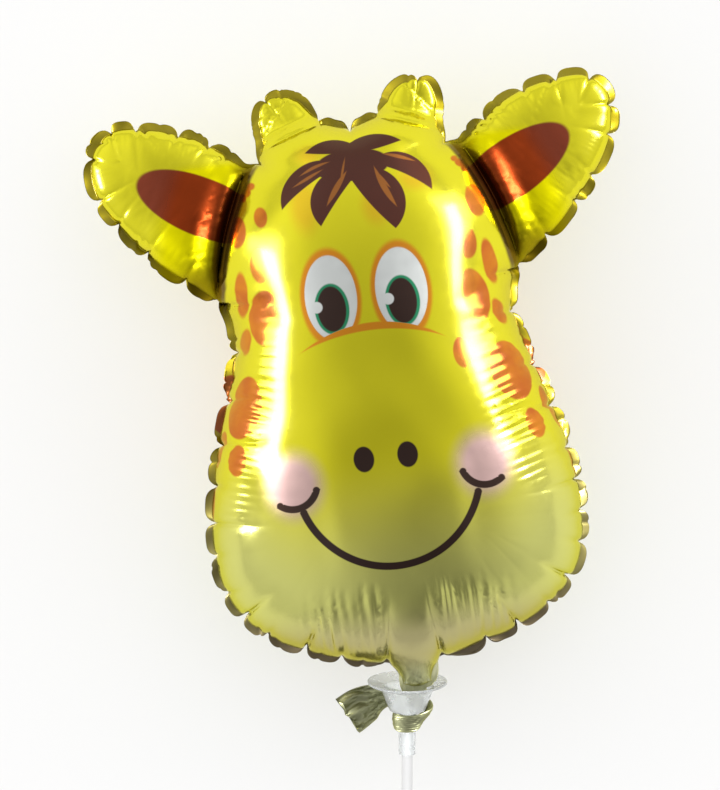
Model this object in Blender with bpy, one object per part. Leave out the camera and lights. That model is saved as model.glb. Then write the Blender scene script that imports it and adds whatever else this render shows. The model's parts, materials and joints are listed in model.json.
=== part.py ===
"""A giraffe head foil balloon with its holder cup and stick, lying on its back.

Two sheets of film are welded round one outline and inflated, so head, ears and horns are one sealed pillow
with a thin weld margin all round. Its filling neck goes down into a clear cup, leaves it through a slot in
the funnel, turns once round the cup's collar and ends in a loose pleated tail. A thin white tube is pushed
up into the collar, and its far end lies on the same surface as the balloon's back.

+X is the face's right as a viewer sees it, +Y runs from chin to horns and +Z is up, out of the face. The
origin is the middle of the flat patch that the back of the head lies on.
"""
import math

import bmesh
import bpy
import numpy as np
from mathutils import Matrix, Vector
from mathutils.geometry import delaunay_2d_cdt

MM = 0.001

# The inflated head. Each point is (across, up) in millimetres from the middle of the muzzle.
HORN = [(0, 189), (7, 191), (14, 197.5), (23, 208), (34, 211.5), (44, 208), (48.5, 197), (48, 184)]
EAR = [(53, 177), (63, 186), (76, 195), (97, 202), (120, 203.5), (133, 192), (133, 168), (118, 143),
       (98, 122), (82, 110)]
SIDE = [(74, 100), (75, 80), (83, 52), (91, 24), (96, -8)]
CHIN = [(91, -40), (77, -59), (58, -71), (33, -79.5), (14, -85), (0, -86)]
EAR_FOLD = ((52, 177), (78, 106))

FACET = 5.2
FACET_INNER = 10.0
ROW_DEPTHS = (1.5, 4.5, 9.0, 15.5)

WELD_MARGIN = 4.2
WELD_THICKNESS = 1.0
HALF_THICKNESS = 60.0

HEAD_LOBE = 23.0
EAR_LOBE = 17.0
EAR_FROM_HEIGHT = 118.0
LOBE_DEPTH = 2.3
PLEAT_DEPTH = 0.34
PLEAT_REACH = 13.0
EAR_FOLD_DEPTH = 0.42
EAR_FOLD_WIDTH = 9.0

# The back is pressed flat where it lies on the surface.
REST_HEIGHT = 58.4
REST_MIDDLE = 46.0

# The cup and the stick share one axis, which leans to one side and droops until the stick's end lies
# down. Their sizes run along that axis from the cup's rim.
CUP_PLACE = (-4.9, -90.4)
STICK_LEAN = math.radians(7.0)
FIT_GAP = 0.3
WALL = 1.2
RIM_RADIUS = 20.0
BRIM_RADIUS = 13.2
BRIM_DEPTH = 2.8
FUNNEL_RADIUS = 9.0
FUNNEL_DEPTH = 14.0
COLLAR_RADIUS = 4.25
COLLAR_END = 38.0
SLOT_TURN = math.radians(-50.0)
SLOT_WIDTH = 11.0
SLOT_TOP = 9.0
STICK_RADIUS = 2.75
STICK_BORE = 1.9
STICK_TOP = 15.5
STICK_LENGTH = 300.0

# The gathered neck. A station is (across, towards the viewer, along the axis), the way its flat side
# faces, and its half width and half thickness.
NECK_IN = [
    ((5.4, 0.0, -16.0), (0, -1, 0), 9.0, 3.0),
    ((5.5, 0.0, -6.0), (0, -1, 0), 9.5, 3.4),
    ((5.0, 0.0, -1.6), (0, -1, 0), 8.2, 3.3),
    ((3.8, -0.3, 2.8), (0, -1, 0), 6.2, 2.9),
    ((4.5, -2.2, 8.0), (0.3, -1, 0), 4.4, 2.4),
    ((4.7, -5.2, 12.4), (0.64, -0.77, 0), 3.4, 1.7),
    ((3.6, -6.7, 16.2), (0.5, -0.86, 0), 3.1, 1.5),
]
WIND_FROM = -112.0
WIND_TO = -455.0
WIND_RADIUS = 6.4
WIND_DEPTH = 20.6
WIND_HALF_WIDTH = 4.5
WIND_HALF_THICKNESS = 1.1
LEAVE_FROM = -285.0
LEAVE_RADIUS = 13.0
LEAVE_DEPTH = 13.6
TAIL = [
    ((-9.0, -12.6, 12.2), (0.15, -1, 0), 4.6, 1.1),
    ((-16.0, -10.0, 12.4), (0.35, -1, 0), 6.2, 1.1),
    ((-23.0, -7.0, 14.8), (0.35, -1, 0), 8.2, 1.1),
    ((-29.5, -4.5, 19.3), (0.3, -1, 0), 10.0, 1.0),
]
TAIL_PLEATS = 3
TAIL_PLEAT_DEPTH = 1.3
STRIP_SIDES = 16
STRIP_RINGS = 84


def smooth_loop(points, step):
    """A closed centripetal Catmull-Rom curve through the points, sampled every step or less."""
    points = np.asarray(points, float)
    pieces = []
    for i in range(len(points)):
        p0, p1, p2, p3 = (points[(i + k) % len(points)] for k in (-1, 0, 1, 2))
        t1 = math.sqrt(np.linalg.norm(p1 - p0))
        t2 = t1 + math.sqrt(np.linalg.norm(p2 - p1))
        t3 = t2 + math.sqrt(np.linalg.norm(p3 - p2))
        count = max(3, int(np.linalg.norm(p2 - p1) / step) + 1)
        t = np.linspace(t1, t2, count, endpoint=False)[:, None]
        a1 = p0 + (p1 - p0) * t / t1
        a2 = p1 + (p2 - p1) * (t - t1) / (t2 - t1)
        a3 = p2 + (p3 - p2) * (t - t2) / (t3 - t2)
        b1 = a1 + (a2 - a1) * t / t2
        b2 = a2 + (a3 - a2) * (t - t1) / (t3 - t1)
        pieces.append(b1 + (b2 - b1) * (t - t1) / (t2 - t1))
    return np.vstack(pieces)


def along(points):
    """Each point's distance along a closed loop, and the loop's whole length."""
    steps = np.linalg.norm(np.roll(points, -1, axis=0) - points, axis=1)
    return np.concatenate([[0.0], np.cumsum(steps)[:-1]]), steps.sum()


def evenly(points, step):
    """The closed loop again, with its points about step apart."""
    place, length = along(points)
    count = int(round(length / step))
    wanted = np.arange(count) * length / count
    closed = np.vstack([points, points[:1]])
    place = np.append(place, length)
    return np.stack([np.interp(wanted, place, closed[:, k]) for k in (0, 1)], axis=1)


def outward_normals(loop):
    """Unit normals that point out of a loop of either direction."""
    tangent = np.roll(loop, -1, axis=0) - np.roll(loop, 1, axis=0)
    normal = np.stack([tangent[:, 1], -tangent[:, 0]], axis=1)
    normal /= np.linalg.norm(normal, axis=1)[:, None]
    nxt = np.roll(loop, -1, axis=0)
    area = 0.5 * np.sum(loop[:, 0] * nxt[:, 1] - nxt[:, 0] * loop[:, 1])
    return normal * math.copysign(1.0, area)


def distance_inside(points, loop):
    """Distance from each point to the loop, positive inside, and the loop segment it is nearest to."""
    start = loop
    edge = np.roll(loop, -1, axis=0) - start
    nearest = np.full(len(points), np.inf)
    segment = np.zeros(len(points), int)
    crossings = np.zeros(len(points), int)
    for i in range(len(loop)):
        offset = points - start[i]
        t = np.clip(offset @ edge[i] / (edge[i] @ edge[i]), 0.0, 1.0)
        distance = np.linalg.norm(offset - t[:, None] * edge[i], axis=1)
        closer = distance < nearest
        nearest[closer] = distance[closer]
        segment[closer] = i
        y0, y1 = start[i, 1], start[i, 1] + edge[i, 1]
        spans = (y0 > points[:, 1]) != (y1 > points[:, 1])
        if y0 != y1:
            x_cross = start[i, 0] + (points[:, 1] - y0) * edge[i, 0] / edge[i, 1]
            crossings += spans & (points[:, 0] < x_cross)
    return np.where(crossings % 2 == 1, nearest, -nearest), segment


def lobe_phase(loop):
    """How far each point of the right half lies between two pleats, from 0 to 1, mirrored to the left."""
    half = len(loop) // 2
    spacing = np.where(loop[:, 1] > EAR_FROM_HEIGHT, EAR_LOBE, HEAD_LOBE)
    steps = np.linalg.norm(np.roll(loop, -1, axis=0) - loop, axis=1)
    phase = np.concatenate([[0.0], np.cumsum(steps / spacing)[:-1]])
    phase *= round(phase[half]) / phase[half]
    total = 2.0 * phase[half]
    phase = np.where(np.arange(len(loop)) > half, total - phase, phase)
    return phase % 1.0


def cusp(phase):
    """1 on a pleat, falling to 0 between two pleats."""
    return (1.0 - np.sin(np.pi * phase)) ** 2


def lobed_outline():
    """The film's outer edge, drawn in at every pleat."""
    right = HORN + EAR + SIDE + CHIN
    left = [(-x, y) for x, y in reversed(right[1:-1])]
    loop = evenly(smooth_loop(right + left, 1.0), FACET)
    phase = lobe_phase(loop)
    return loop - outward_normals(loop) * (LOBE_DEPTH * cusp(phase))[:, None], phase


def sheet_points(outline):
    """The outline, rows that follow it and an open lattice in the middle."""
    normal = outward_normals(outline)
    rows = [outline]
    for depth in (WELD_MARGIN, *(WELD_MARGIN + d for d in ROW_DEPTHS)):
        row = outline - normal * depth
        inside, _ = distance_inside(row, outline)
        row = row[inside > depth * 0.93]
        kept = []
        for point in row:
            if all(np.linalg.norm(point - other) > 0.62 * FACET for other in kept):
                kept.append(point)
        rows.append(np.array(kept))
    low, high = outline.min(axis=0), outline.max(axis=0)
    lattice = []
    height = FACET_INNER * math.sqrt(3.0) / 2.0
    for j in range(int((high[1] - low[1]) / height) + 1):
        shift = 0.5 * (j % 2)
        reach = int(high[0] / FACET_INNER) + 1
        for i in range(-reach, reach + 1):
            lattice.append(((i + shift) * FACET_INNER, low[1] + j * height))
    lattice = np.array(lattice)
    inside, _ = distance_inside(lattice, outline)
    rows.append(lattice[inside > WELD_MARGIN + ROW_DEPTHS[-1] + 0.55 * FACET_INNER])
    return np.vstack(rows)


def sheet_triangles(points, edge_count):
    """The sheet's triangles, all turned to face +Z."""
    edges = [(i, (i + 1) % edge_count) for i in range(edge_count)]
    found = delaunay_2d_cdt([Vector(p) for p in points], edges, [], 1, 1e-6)
    faces = np.array([f for f in found[2] if len(f) == 3])
    corners = points[faces]
    inside, _ = distance_inside(corners.mean(axis=1), points[:edge_count])
    first, second = corners[:, 1] - corners[:, 0], corners[:, 2] - corners[:, 0]
    turn = first[:, 0] * second[:, 1] - first[:, 1] * second[:, 0]
    faces = np.where((turn > 0.0)[:, None], faces, faces[:, ::-1])
    return faces[(inside > 0.0) & (np.abs(turn) > 1e-3)]


def pillow_height(points, faces, held):
    """How far the film stands out, from a membrane held at the weld: the root of its even-load sag."""
    count = len(points)
    stiffness = np.zeros((count, count))
    load = np.zeros(count)
    for face in faces:
        corner = points[face]
        opposite = np.stack([corner[(k + 2) % 3] - corner[(k + 1) % 3] for k in range(3)])
        area = 0.5 * abs(opposite[0, 0] * opposite[1, 1] - opposite[0, 1] * opposite[1, 0])
        stiffness[np.ix_(face, face)] += opposite @ opposite.T / (4.0 * area)
        load[face] += area / 3.0
    free = ~held
    sag = np.zeros(count)
    sag[free] = np.linalg.solve(stiffness[np.ix_(free, free)], load[free])
    return HALF_THICKNESS * np.sqrt(sag / sag.max())


def distance_to_chord(points, start, end):
    """Distance from each point to the straight line between two points."""
    start, end = np.asarray(start, float), np.asarray(end, float)
    t = np.clip((points - start) @ (end - start) / np.sum((end - start) ** 2), 0.0, 1.0)
    return np.linalg.norm(points - start - t[:, None] * (end - start), axis=1)


def pillow():
    """The welded, inflated head with its ears and horns, as one closed mesh."""
    outline, phase = lobed_outline()
    points = sheet_points(outline)
    faces = sheet_triangles(points, len(outline))
    inside, segment = distance_inside(points, outline)
    rise = pillow_height(points, faces, inside < WELD_MARGIN + 0.3)
    depth = np.clip(inside - WELD_MARGIN, 0.0, None)
    rise *= 1.0 - PLEAT_DEPTH * cusp(phase[segment]) * np.exp(-(depth / PLEAT_REACH) ** 2)
    mirrored = np.abs(points * (1.0, 0.0)) + points * (0.0, 1.0)
    fold = distance_to_chord(mirrored, *EAR_FOLD)
    rise *= 1.0 - EAR_FOLD_DEPTH * np.exp(-(fold / EAR_FOLD_WIDTH) ** 2)
    front = rise + WELD_THICKNESS / 2.0
    back = -np.minimum(front, REST_HEIGHT)

    mesh = bmesh.new()
    upper = [mesh.verts.new((x, y, z)) for (x, y), z in zip(points, front)]
    lower = [mesh.verts.new((x, y, z)) for (x, y), z in zip(points, back)]
    for a, b, c in faces:
        mesh.faces.new((upper[a], upper[b], upper[c]))
        mesh.faces.new((lower[c], lower[b], lower[a]))
    count = len(outline)
    for i in range(count):
        j = (i + 1) % count
        mesh.faces.new((upper[j], upper[i], lower[i], lower[j]))
    bmesh.ops.recalc_face_normals(mesh, faces=mesh.faces)
    return mesh


def cup_frame():
    """The matrix from the cup's own axes (across, towards the viewer, along the stick) to the head's."""
    reach = STICK_TOP + STICK_LENGTH
    droop = math.asin(REST_HEIGHT / math.hypot(reach, STICK_RADIUS)) - math.atan2(STICK_RADIUS, reach)
    level = Vector((-math.sin(STICK_LEAN), -math.cos(STICK_LEAN), 0.0))
    down = Vector((0.0, 0.0, -1.0))
    across = Vector((math.cos(STICK_LEAN), -math.sin(STICK_LEAN), 0.0))
    viewer = level * math.sin(droop) - down * math.cos(droop)
    axis = level * math.cos(droop) + down * math.sin(droop)
    frame = Matrix((across, viewer, axis)).transposed().to_4x4()
    return Matrix.Translation((*CUP_PLACE, 0.0)) @ frame


def ease(t):
    """A smooth step from 0 to 1."""
    t = min(max(t, 0.0), 1.0)
    return t * t * (3.0 - 2.0 * t)


def winding():
    """Stations of the strip round the collar, which then climbs outside the funnel."""
    stations = []
    for turn in np.linspace(WIND_FROM, WIND_TO, 18):
        leave = ease((LEAVE_FROM - turn) / (LEAVE_FROM - WIND_TO))
        radius = WIND_RADIUS + (LEAVE_RADIUS - WIND_RADIUS) * leave
        depth = WIND_DEPTH + (LEAVE_DEPTH - WIND_DEPTH) * leave
        tilt = 0.75 * math.sin(math.pi * leave)
        angle = math.radians(turn)
        radial = Vector((math.cos(angle), math.sin(angle), 0.0))
        start = ease((WIND_FROM - turn) / 60.0)
        width = NECK_IN[-1][2] + (WIND_HALF_WIDTH - NECK_IN[-1][2]) * start
        facing = radial + Vector((0.0, 0.0, tilt))
        place = radial * radius + Vector((0.0, 0.0, depth))
        stations.append((place, facing, width, WIND_HALF_THICKNESS))
    return stations


def catmull(values, t):
    """The uniform Catmull-Rom value at t, in stations from the first row of values."""
    last = len(values) - 1
    i = min(int(t), last - 1)
    p0, p1, p2, p3 = (values[min(max(i + k, 0), last)] for k in (-1, 0, 1, 2))
    f = t - i
    return 0.5 * (2.0 * p1 + (p2 - p0) * f + (2.0 * p0 - 5.0 * p1 + 4.0 * p2 - p3) * f * f
                  + (3.0 * p1 - p0 - 3.0 * p2 + p3) * f ** 3)


def neck():
    """The gathered neck, its turn round the collar and its loose tail, as one swept strip."""
    stations = NECK_IN + winding() + TAIL
    rows = np.array([(*place, *facing, width, thick) for place, facing, width, thick in stations], float)
    lengths = np.concatenate([[0.0], np.cumsum(np.linalg.norm(np.diff(rows[:, :3], axis=0), axis=1))])
    places = np.interp(np.linspace(0.0, lengths[-1], STRIP_RINGS), lengths, np.arange(len(rows)))
    tail_from = lengths[len(NECK_IN) + len(winding()) - 1] / lengths[-1]
    mesh = bmesh.new()
    rings = []
    for k, t in enumerate(places):
        row = catmull(rows, t)
        ahead, behind = catmull(rows, min(t + 0.05, len(rows) - 1)), catmull(rows, max(t - 0.05, 0.0))
        centre = Vector(row[:3])
        tangent = Vector(ahead[:3] - behind[:3]).normalized()
        facing = Vector(row[3:6])
        facing = (facing - tangent * facing.dot(tangent)).normalized()
        side = facing.cross(tangent)
        pleat = TAIL_PLEAT_DEPTH * ease((k / (STRIP_RINGS - 1) - tail_from) / (1.0 - tail_from))
        ring = []
        for m in range(STRIP_SIDES):
            angle = 2.0 * math.pi * m / STRIP_SIDES
            wide, thick = math.cos(angle), math.sin(angle)
            lift = row[7] * thick + pleat * math.sin(math.pi * TAIL_PLEATS * wide)
            ring.append(mesh.verts.new(centre + side * (row[6] * wide) + facing * lift))
        rings.append(ring)
    for first, second in zip(rings, rings[1:]):
        for m in range(STRIP_SIDES):
            n = (m + 1) % STRIP_SIDES
            mesh.faces.new((first[m], first[n], second[n], second[m]))
    ends = [mesh.faces.new(rings[0]), mesh.faces.new(rings[-1])]
    bmesh.ops.poke(mesh, faces=ends)
    bmesh.ops.recalc_face_normals(mesh, faces=mesh.faces)
    return mesh


def turned(profile, sides):
    """A closed profile of (radius, along) turned round the axis."""
    mesh = bmesh.new()
    rings = []
    for k in range(sides):
        angle = 2.0 * math.pi * k / sides
        rings.append([mesh.verts.new((r * math.cos(angle), r * math.sin(angle), s)) for r, s in profile])
    for k in range(sides):
        first, second = rings[k], rings[(k + 1) % sides]
        for m in range(len(profile)):
            n = (m + 1) % len(profile)
            mesh.faces.new((first[m], first[n], second[n], second[m]))
    bmesh.ops.recalc_face_normals(mesh, faces=mesh.faces)
    return mesh


def cup():
    """The cup's rim, funnel and collar in one turned wall."""
    bore = STICK_RADIUS + FIT_GAP
    profile = [
        (RIM_RADIUS, 0.0), (RIM_RADIUS, WALL), (BRIM_RADIUS, BRIM_DEPTH + WALL),
        (FUNNEL_RADIUS, FUNNEL_DEPTH + WALL), (COLLAR_RADIUS, FUNNEL_DEPTH + WALL),
        (COLLAR_RADIUS, COLLAR_END), (bore, COLLAR_END), (bore, FUNNEL_DEPTH),
        (FUNNEL_RADIUS - WALL, FUNNEL_DEPTH), (BRIM_RADIUS - WALL, BRIM_DEPTH),
    ]
    return turned(profile, 36)


def slot():
    """The block that cuts the neck's way out through the funnel's floor and wall."""
    mesh = bmesh.new()
    inner, outer = COLLAR_RADIUS + 0.25, RIM_RADIUS
    bottom = FUNNEL_DEPTH + WALL + 2.0
    bmesh.ops.create_cube(mesh, size=1.0)
    bmesh.ops.scale(mesh, vec=(outer - inner, SLOT_WIDTH, bottom - SLOT_TOP), verts=mesh.verts)
    bmesh.ops.translate(mesh, vec=((outer + inner) / 2.0, 0.0, (bottom + SLOT_TOP) / 2.0), verts=mesh.verts)
    bmesh.ops.rotate(mesh, matrix=Matrix.Rotation(SLOT_TURN, 3, "Z"), verts=mesh.verts)
    return mesh


def stick():
    """The thin tube, from inside the collar to its far end."""
    end = STICK_TOP + STICK_LENGTH
    profile = [(STICK_RADIUS, STICK_TOP), (STICK_RADIUS, end), (STICK_BORE, end), (STICK_BORE, STICK_TOP)]
    return turned(profile, 24)


def finish(name, mesh, frame, colour=(0.8, 0.8, 0.8), roughness=0.5, metallic=0.0, alpha=1.0):
    """Place a mesh made in millimetres, and make it a named object in metres with its own material."""
    to_world = Matrix.Scale(MM, 4) @ Matrix.Translation((0.0, -REST_MIDDLE, REST_HEIGHT)) @ frame
    bmesh.ops.transform(mesh, matrix=to_world, verts=mesh.verts)
    data = bpy.data.meshes.new(name)
    mesh.to_mesh(data)
    mesh.free()
    thing = bpy.data.objects.new(name, data)
    bpy.context.scene.collection.objects.link(thing)
    material = bpy.data.materials.new(name)
    material.use_nodes = True
    shader = material.node_tree.nodes["Principled BSDF"]
    shader.inputs["Base Color"].default_value = (*colour, 1.0)
    shader.inputs["Roughness"].default_value = roughness
    shader.inputs["Metallic"].default_value = metallic
    shader.inputs["Alpha"].default_value = alpha
    data.materials.append(material)
    data.shade_smooth()
    data.set_sharp_from_angle(angle=math.radians(40.0))
    return thing


def combine(thing, tool, operation):
    """Join or cut an object with a tool that isn't itself a piece."""
    tool.hide_render = True
    tool.display_type = "WIRE"
    change = thing.modifiers.new(tool.name, "BOOLEAN")
    change.operation = operation
    change.object = tool
    change.solver = "EXACT"


def main():
    for thing in list(bpy.data.objects):
        bpy.data.objects.remove(thing, do_unlink=True)
    frame = cup_frame()
    balloon = finish("foil_balloon", pillow(), Matrix.Identity(4), (0.72, 0.66, 0.02), 0.22, 1.0)
    combine(balloon, finish("neck_tool", neck(), frame), "UNION")
    holder = finish("cup", cup(), frame, (0.9, 0.92, 0.93), 0.12, 0.0, 0.35)
    combine(holder, finish("slot_tool", slot(), frame), "DIFFERENCE")
    finish("stick", stick(), frame, (0.93, 0.93, 0.92), 0.35)


main()
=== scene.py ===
"""Looks of an inflated giraffe head foil balloon, its clear cup and its stick.

The balloon's film is one closed mesh: two sheets welded round one outline, with a thin margin outside the
weld. Its rise is a membrane held at the weld, and pleats, lobes and fine ripples are laid on it from the
distance along the weld and inward over the film. The numbers here are millimetres in the head's own axes:
across, up and out of the face, from the middle of the muzzle. Only the settings, the frame and the lights
are in metres.
"""
import json
import math

import bmesh
import bpy
import numpy as np
from bpy.props import FloatProperty, FloatVectorProperty, PointerProperty
from bpy.types import Operator, Panel, PropertyGroup
from mathutils import Matrix, Vector
from mathutils.geometry import delaunay_2d_cdt


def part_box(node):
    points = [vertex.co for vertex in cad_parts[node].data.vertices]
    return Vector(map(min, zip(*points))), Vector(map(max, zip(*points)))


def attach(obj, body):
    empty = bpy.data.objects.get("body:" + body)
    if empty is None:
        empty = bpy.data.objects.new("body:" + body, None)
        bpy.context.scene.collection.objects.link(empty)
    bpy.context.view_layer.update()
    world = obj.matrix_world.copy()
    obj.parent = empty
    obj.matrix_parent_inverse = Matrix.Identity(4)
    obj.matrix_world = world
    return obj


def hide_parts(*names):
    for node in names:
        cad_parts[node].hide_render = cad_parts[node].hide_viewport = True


bl_info = {
    "name": "Foil balloon on a stick",
    "version": (1, 0, 0),
    "blender": (4, 5, 0),
    "location": "3D View > Sidebar > Balloon",
    "description": "Makes an inflated giraffe head foil balloon with its cup and stick",
    "category": "Object",
}

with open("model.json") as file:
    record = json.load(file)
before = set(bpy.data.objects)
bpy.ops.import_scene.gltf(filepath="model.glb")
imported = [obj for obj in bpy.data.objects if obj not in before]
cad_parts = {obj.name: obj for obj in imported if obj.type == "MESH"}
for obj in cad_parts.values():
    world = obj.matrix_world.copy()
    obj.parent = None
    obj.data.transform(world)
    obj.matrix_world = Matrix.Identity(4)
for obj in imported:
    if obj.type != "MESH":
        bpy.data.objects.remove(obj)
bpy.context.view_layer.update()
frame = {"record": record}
MM = 0.001

# The film's outer edge, right half, from the middle of the crown round to the end of the neck.
HORN = [(0, 191), (7, 192.5), (14, 198), (23, 208), (34, 211.5), (44, 208), (48.5, 197), (48, 184)]
EAR = [(53, 177), (63, 186), (76, 195), (97, 202), (120, 203.5), (133, 192), (133, 168), (118, 143),
       (98, 122), (82, 110)]
SIDE = [(74, 100), (75, 80), (83, 52), (91, 24), (96, -8)]
CHIN = [(91, -40), (77, -59), (58, -71), (33, -79.5), (15, -84.5)]
NECK_TAB = [(12, -89), (10.5, -94.5), (0, -98)]
EAR_FOLD = ((50, 178), (76, 106), 4.0)
HORN_FOLD = ((9, 190.5), (48, 178), 1.3)
CROWN_TOP = 211.5
FRONT_TO_SEAM = 60.5
EAR_SQUARENESS = 3.6

# The mesh: the step along the edge, how far its rows lie inside the edge and inside the weld, the step of the
# open middle, how far its rows lie beside folds and long creases, and the cell in which close points are
# looked for.
EDGE_STEP = 0.9
MARGIN_ROWS = (0.0, 0.3, 2.0, 3.8)
RIM_ROWS = (0.0, 0.05, 0.2, 0.5, 1.0, 1.7, 2.6)
SIDE_ROWS = (3.8, 5.2, 7.0, 9.2, 12.0, 15.2, 19.0, 23.2, 27.6, 32.2, 37.0, 42.0, 47.0)
OPEN_LATTICE = 3.6
FOLD_ROWS = (-9.0, -6.0, -4.2, -3.0, -2.0, -1.2, -0.6, -0.1, 0.5, 1.4, 2.6, 4.2, 6.2, 8.6, 11.4)
CREASE_ROWS = (-3.6, -2.2, -1.3, -0.6, 0.0, 0.6, 1.3, 2.2, 3.6)
CELL = 4.0

# The film's regions. Two values are where a change starts and is full, and four are where a band starts, is
# full, ends and is gone: up the head, across it, past a fold, or as shares of the way to the film's middle.
EAR_ROOT_UP, EAR_PAST_FOLD, EAR_FOLD_REACH = (98.0, 114.0), (0.0, 16.0), (42.0, 8.0)
HORN_ROOT_ACROSS, HORN_PAST_FOLD, HORN_FOLD_REACH = (50.0, 58.0), (0.0, 8.0), (11.0, 10.0)
BROAD_HALF_WIDTH, LEAST_HALF_WIDTH = (24.0, 55.0), 4.0
SHOULDER_UP, SHOULDER_INSIDE, SHOULDER_WIDTH = (-14.0, 4.0, 150.0, 175.0), 19.0, 8.0
CHEEK_TOP_UP, CHEEK_FOOT_UP, CHEEK_ACROSS, LEFT_CHEEK_DROP = (36.0, 2.0), (-36.0, -8.0), (28.0, 40.0), 12.0
NECK_UP = (-80.0, -86.0)


# ---------------------------------------------------------------- outlines


def smooth_loop(points, step):
    """A closed centripetal Catmull-Rom curve through the points, sampled every step or less."""
    points = np.asarray(points, float)
    pieces = []
    for i in range(len(points)):
        p0, p1, p2, p3 = (points[(i + k) % len(points)] for k in (-1, 0, 1, 2))
        t1 = math.sqrt(np.linalg.norm(p1 - p0))
        t2 = t1 + math.sqrt(np.linalg.norm(p2 - p1))
        t3 = t2 + math.sqrt(np.linalg.norm(p3 - p2))
        count = max(3, int(np.linalg.norm(p2 - p1) / step) + 1)
        t = np.linspace(t1, t2, count, endpoint=False)[:, None]
        a1 = p0 + (p1 - p0) * t / t1
        a2 = p1 + (p2 - p1) * (t - t1) / (t2 - t1)
        a3 = p2 + (p3 - p2) * (t - t2) / (t3 - t2)
        b1 = a1 + (a2 - a1) * t / t2
        b2 = a2 + (a3 - a2) * (t - t1) / (t3 - t1)
        pieces.append(b1 + (b2 - b1) * (t - t1) / (t2 - t1))
    return np.vstack(pieces)


def along(loop):
    """Each point's distance along a closed loop, and the loop's whole length."""
    steps = np.linalg.norm(np.roll(loop, -1, axis=0) - loop, axis=1)
    return np.concatenate([[0.0], np.cumsum(steps)[:-1]]), steps.sum()


def evenly(loop, step):
    """The closed loop again, with its points about step apart."""
    place, length = along(loop)
    count = int(round(length / step))
    wanted = np.arange(count) * length / count
    closed = np.vstack([loop, loop[:1]])
    place = np.append(place, length)
    return np.stack([np.interp(wanted, place, closed[:, k]) for k in (0, 1)], axis=1)


def outward_normals(loop):
    """Unit normals that point out of a loop of either direction."""
    tangent = np.roll(loop, -1, axis=0) - np.roll(loop, 1, axis=0)
    normal = np.stack([tangent[:, 1], -tangent[:, 0]], axis=1)
    normal /= np.linalg.norm(normal, axis=1)[:, None]
    nxt = np.roll(loop, -1, axis=0)
    area = 0.5 * np.sum(loop[:, 0] * nxt[:, 1] - nxt[:, 0] * loop[:, 1])
    return normal * math.copysign(1.0, area)


def inward_from(points, loop):
    """For each point: its distance inside the loop, and the nearest place along the loop."""
    start = loop
    edge = np.roll(loop, -1, axis=0) - start
    place, _ = along(loop)
    nearest = np.full(len(points), np.inf)
    found = np.zeros(len(points))
    crossings = np.zeros(len(points), int)
    for i in range(len(loop)):
        offset = points - start[i]
        span = float(edge[i] @ edge[i])
        t = np.clip(offset @ edge[i] / span, 0.0, 1.0)
        distance = (offset[:, 0] - t * edge[i, 0]) ** 2 + (offset[:, 1] - t * edge[i, 1]) ** 2
        closer = distance < nearest
        nearest[closer] = distance[closer]
        found[closer] = place[i] + t[closer] * math.sqrt(span)
        y0, y1 = start[i, 1], start[i, 1] + edge[i, 1]
        if y0 != y1:
            spans = (y0 > points[:, 1]) != (y1 > points[:, 1])
            x_cross = start[i, 0] + (points[:, 1] - y0) * edge[i, 0] / edge[i, 1]
            crossings += spans & (points[:, 0] < x_cross)
    return np.where(crossings % 2 == 1, 1.0, -1.0) * np.sqrt(nearest), found


def arc_circle(start, end, bow):
    """Half the way from start to end, the unit way to its left, and the middle and radius of the arc there.

    The arc bows to the left by bow, or to the right where bow is negative.
    """
    start = np.array(start, float)
    half = 0.5 * np.subtract(end, start)
    reach = math.hypot(*half)
    left = np.array((-half[1], half[0])) / reach
    radius = (reach ** 2 + bow ** 2) / (2.0 * abs(bow))
    return half, left, start + half + left * (bow - math.copysign(radius, bow)), radius


def beside_arc(points, start, end, bow):
    """How far each point lies to the left of the arc between two points, which bows to the left by bow.

    It fades to far away past the arc's ends.
    """
    half, _, middle, radius = arc_circle(start, end, bow)
    past = np.abs((points - start - half) @ half) / math.hypot(*half) ** 2 - 1.0
    off = np.hypot(*(points - middle).T) - radius
    return off + np.sign(off) * 40.0 * np.clip(past, 0.0, None)


def between_rings(rings, count):
    """The triangles between neighbouring rings that have count points each."""
    ring, here = np.meshgrid(np.arange(rings - 1), np.arange(count), indexing="ij")
    low, high, after = ring * count, (ring + 1) * count, (here + 1) % count
    corners = (low + here, low + after, high + after, low + here, high + after, high + here)
    return np.stack(corners, axis=-1).reshape(-1, 3)


# ---------------------------------------------------------------- the flat sheet


def film_edge():
    """The film's outer edge as a closed loop, starting at the middle of the crown."""
    right = HORN + EAR + SIDE + CHIN + NECK_TAB
    left = [(-x, y) for x, y in reversed(right[1:-1])]
    return evenly(smooth_loop(right + left, 0.5), EDGE_STEP)


def keep_apart(points, gap, kept, cells):
    """Add the points that are at least gap from every kept one."""
    for x, y in points:
        i, j = int(math.floor(x / CELL)), int(math.floor(y / CELL))
        near = (cells.get((i + a, j + b), ()) for a in (-1, 0, 1) for b in (-1, 0, 1))
        if all((x - u) ** 2 + (y - v) ** 2 > gap * gap for cell in near for u, v in cell):
            kept.append((x, y))
            cells.setdefault((i, j), []).append((x, y))


def lattice(step, low, high):
    """A triangular lattice over a box."""
    height = step * math.sqrt(3.0) / 2.0
    across = int((high[0] - low[0]) / step) + 2
    rows = int((high[1] - low[1]) / height) + 2
    i, j = np.meshgrid(np.arange(across), np.arange(rows))
    x = low[0] + (i + 0.5 * (j % 2)) * step
    return np.stack([x.ravel(), (low[1] + j * height).ravel()], axis=1)


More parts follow.
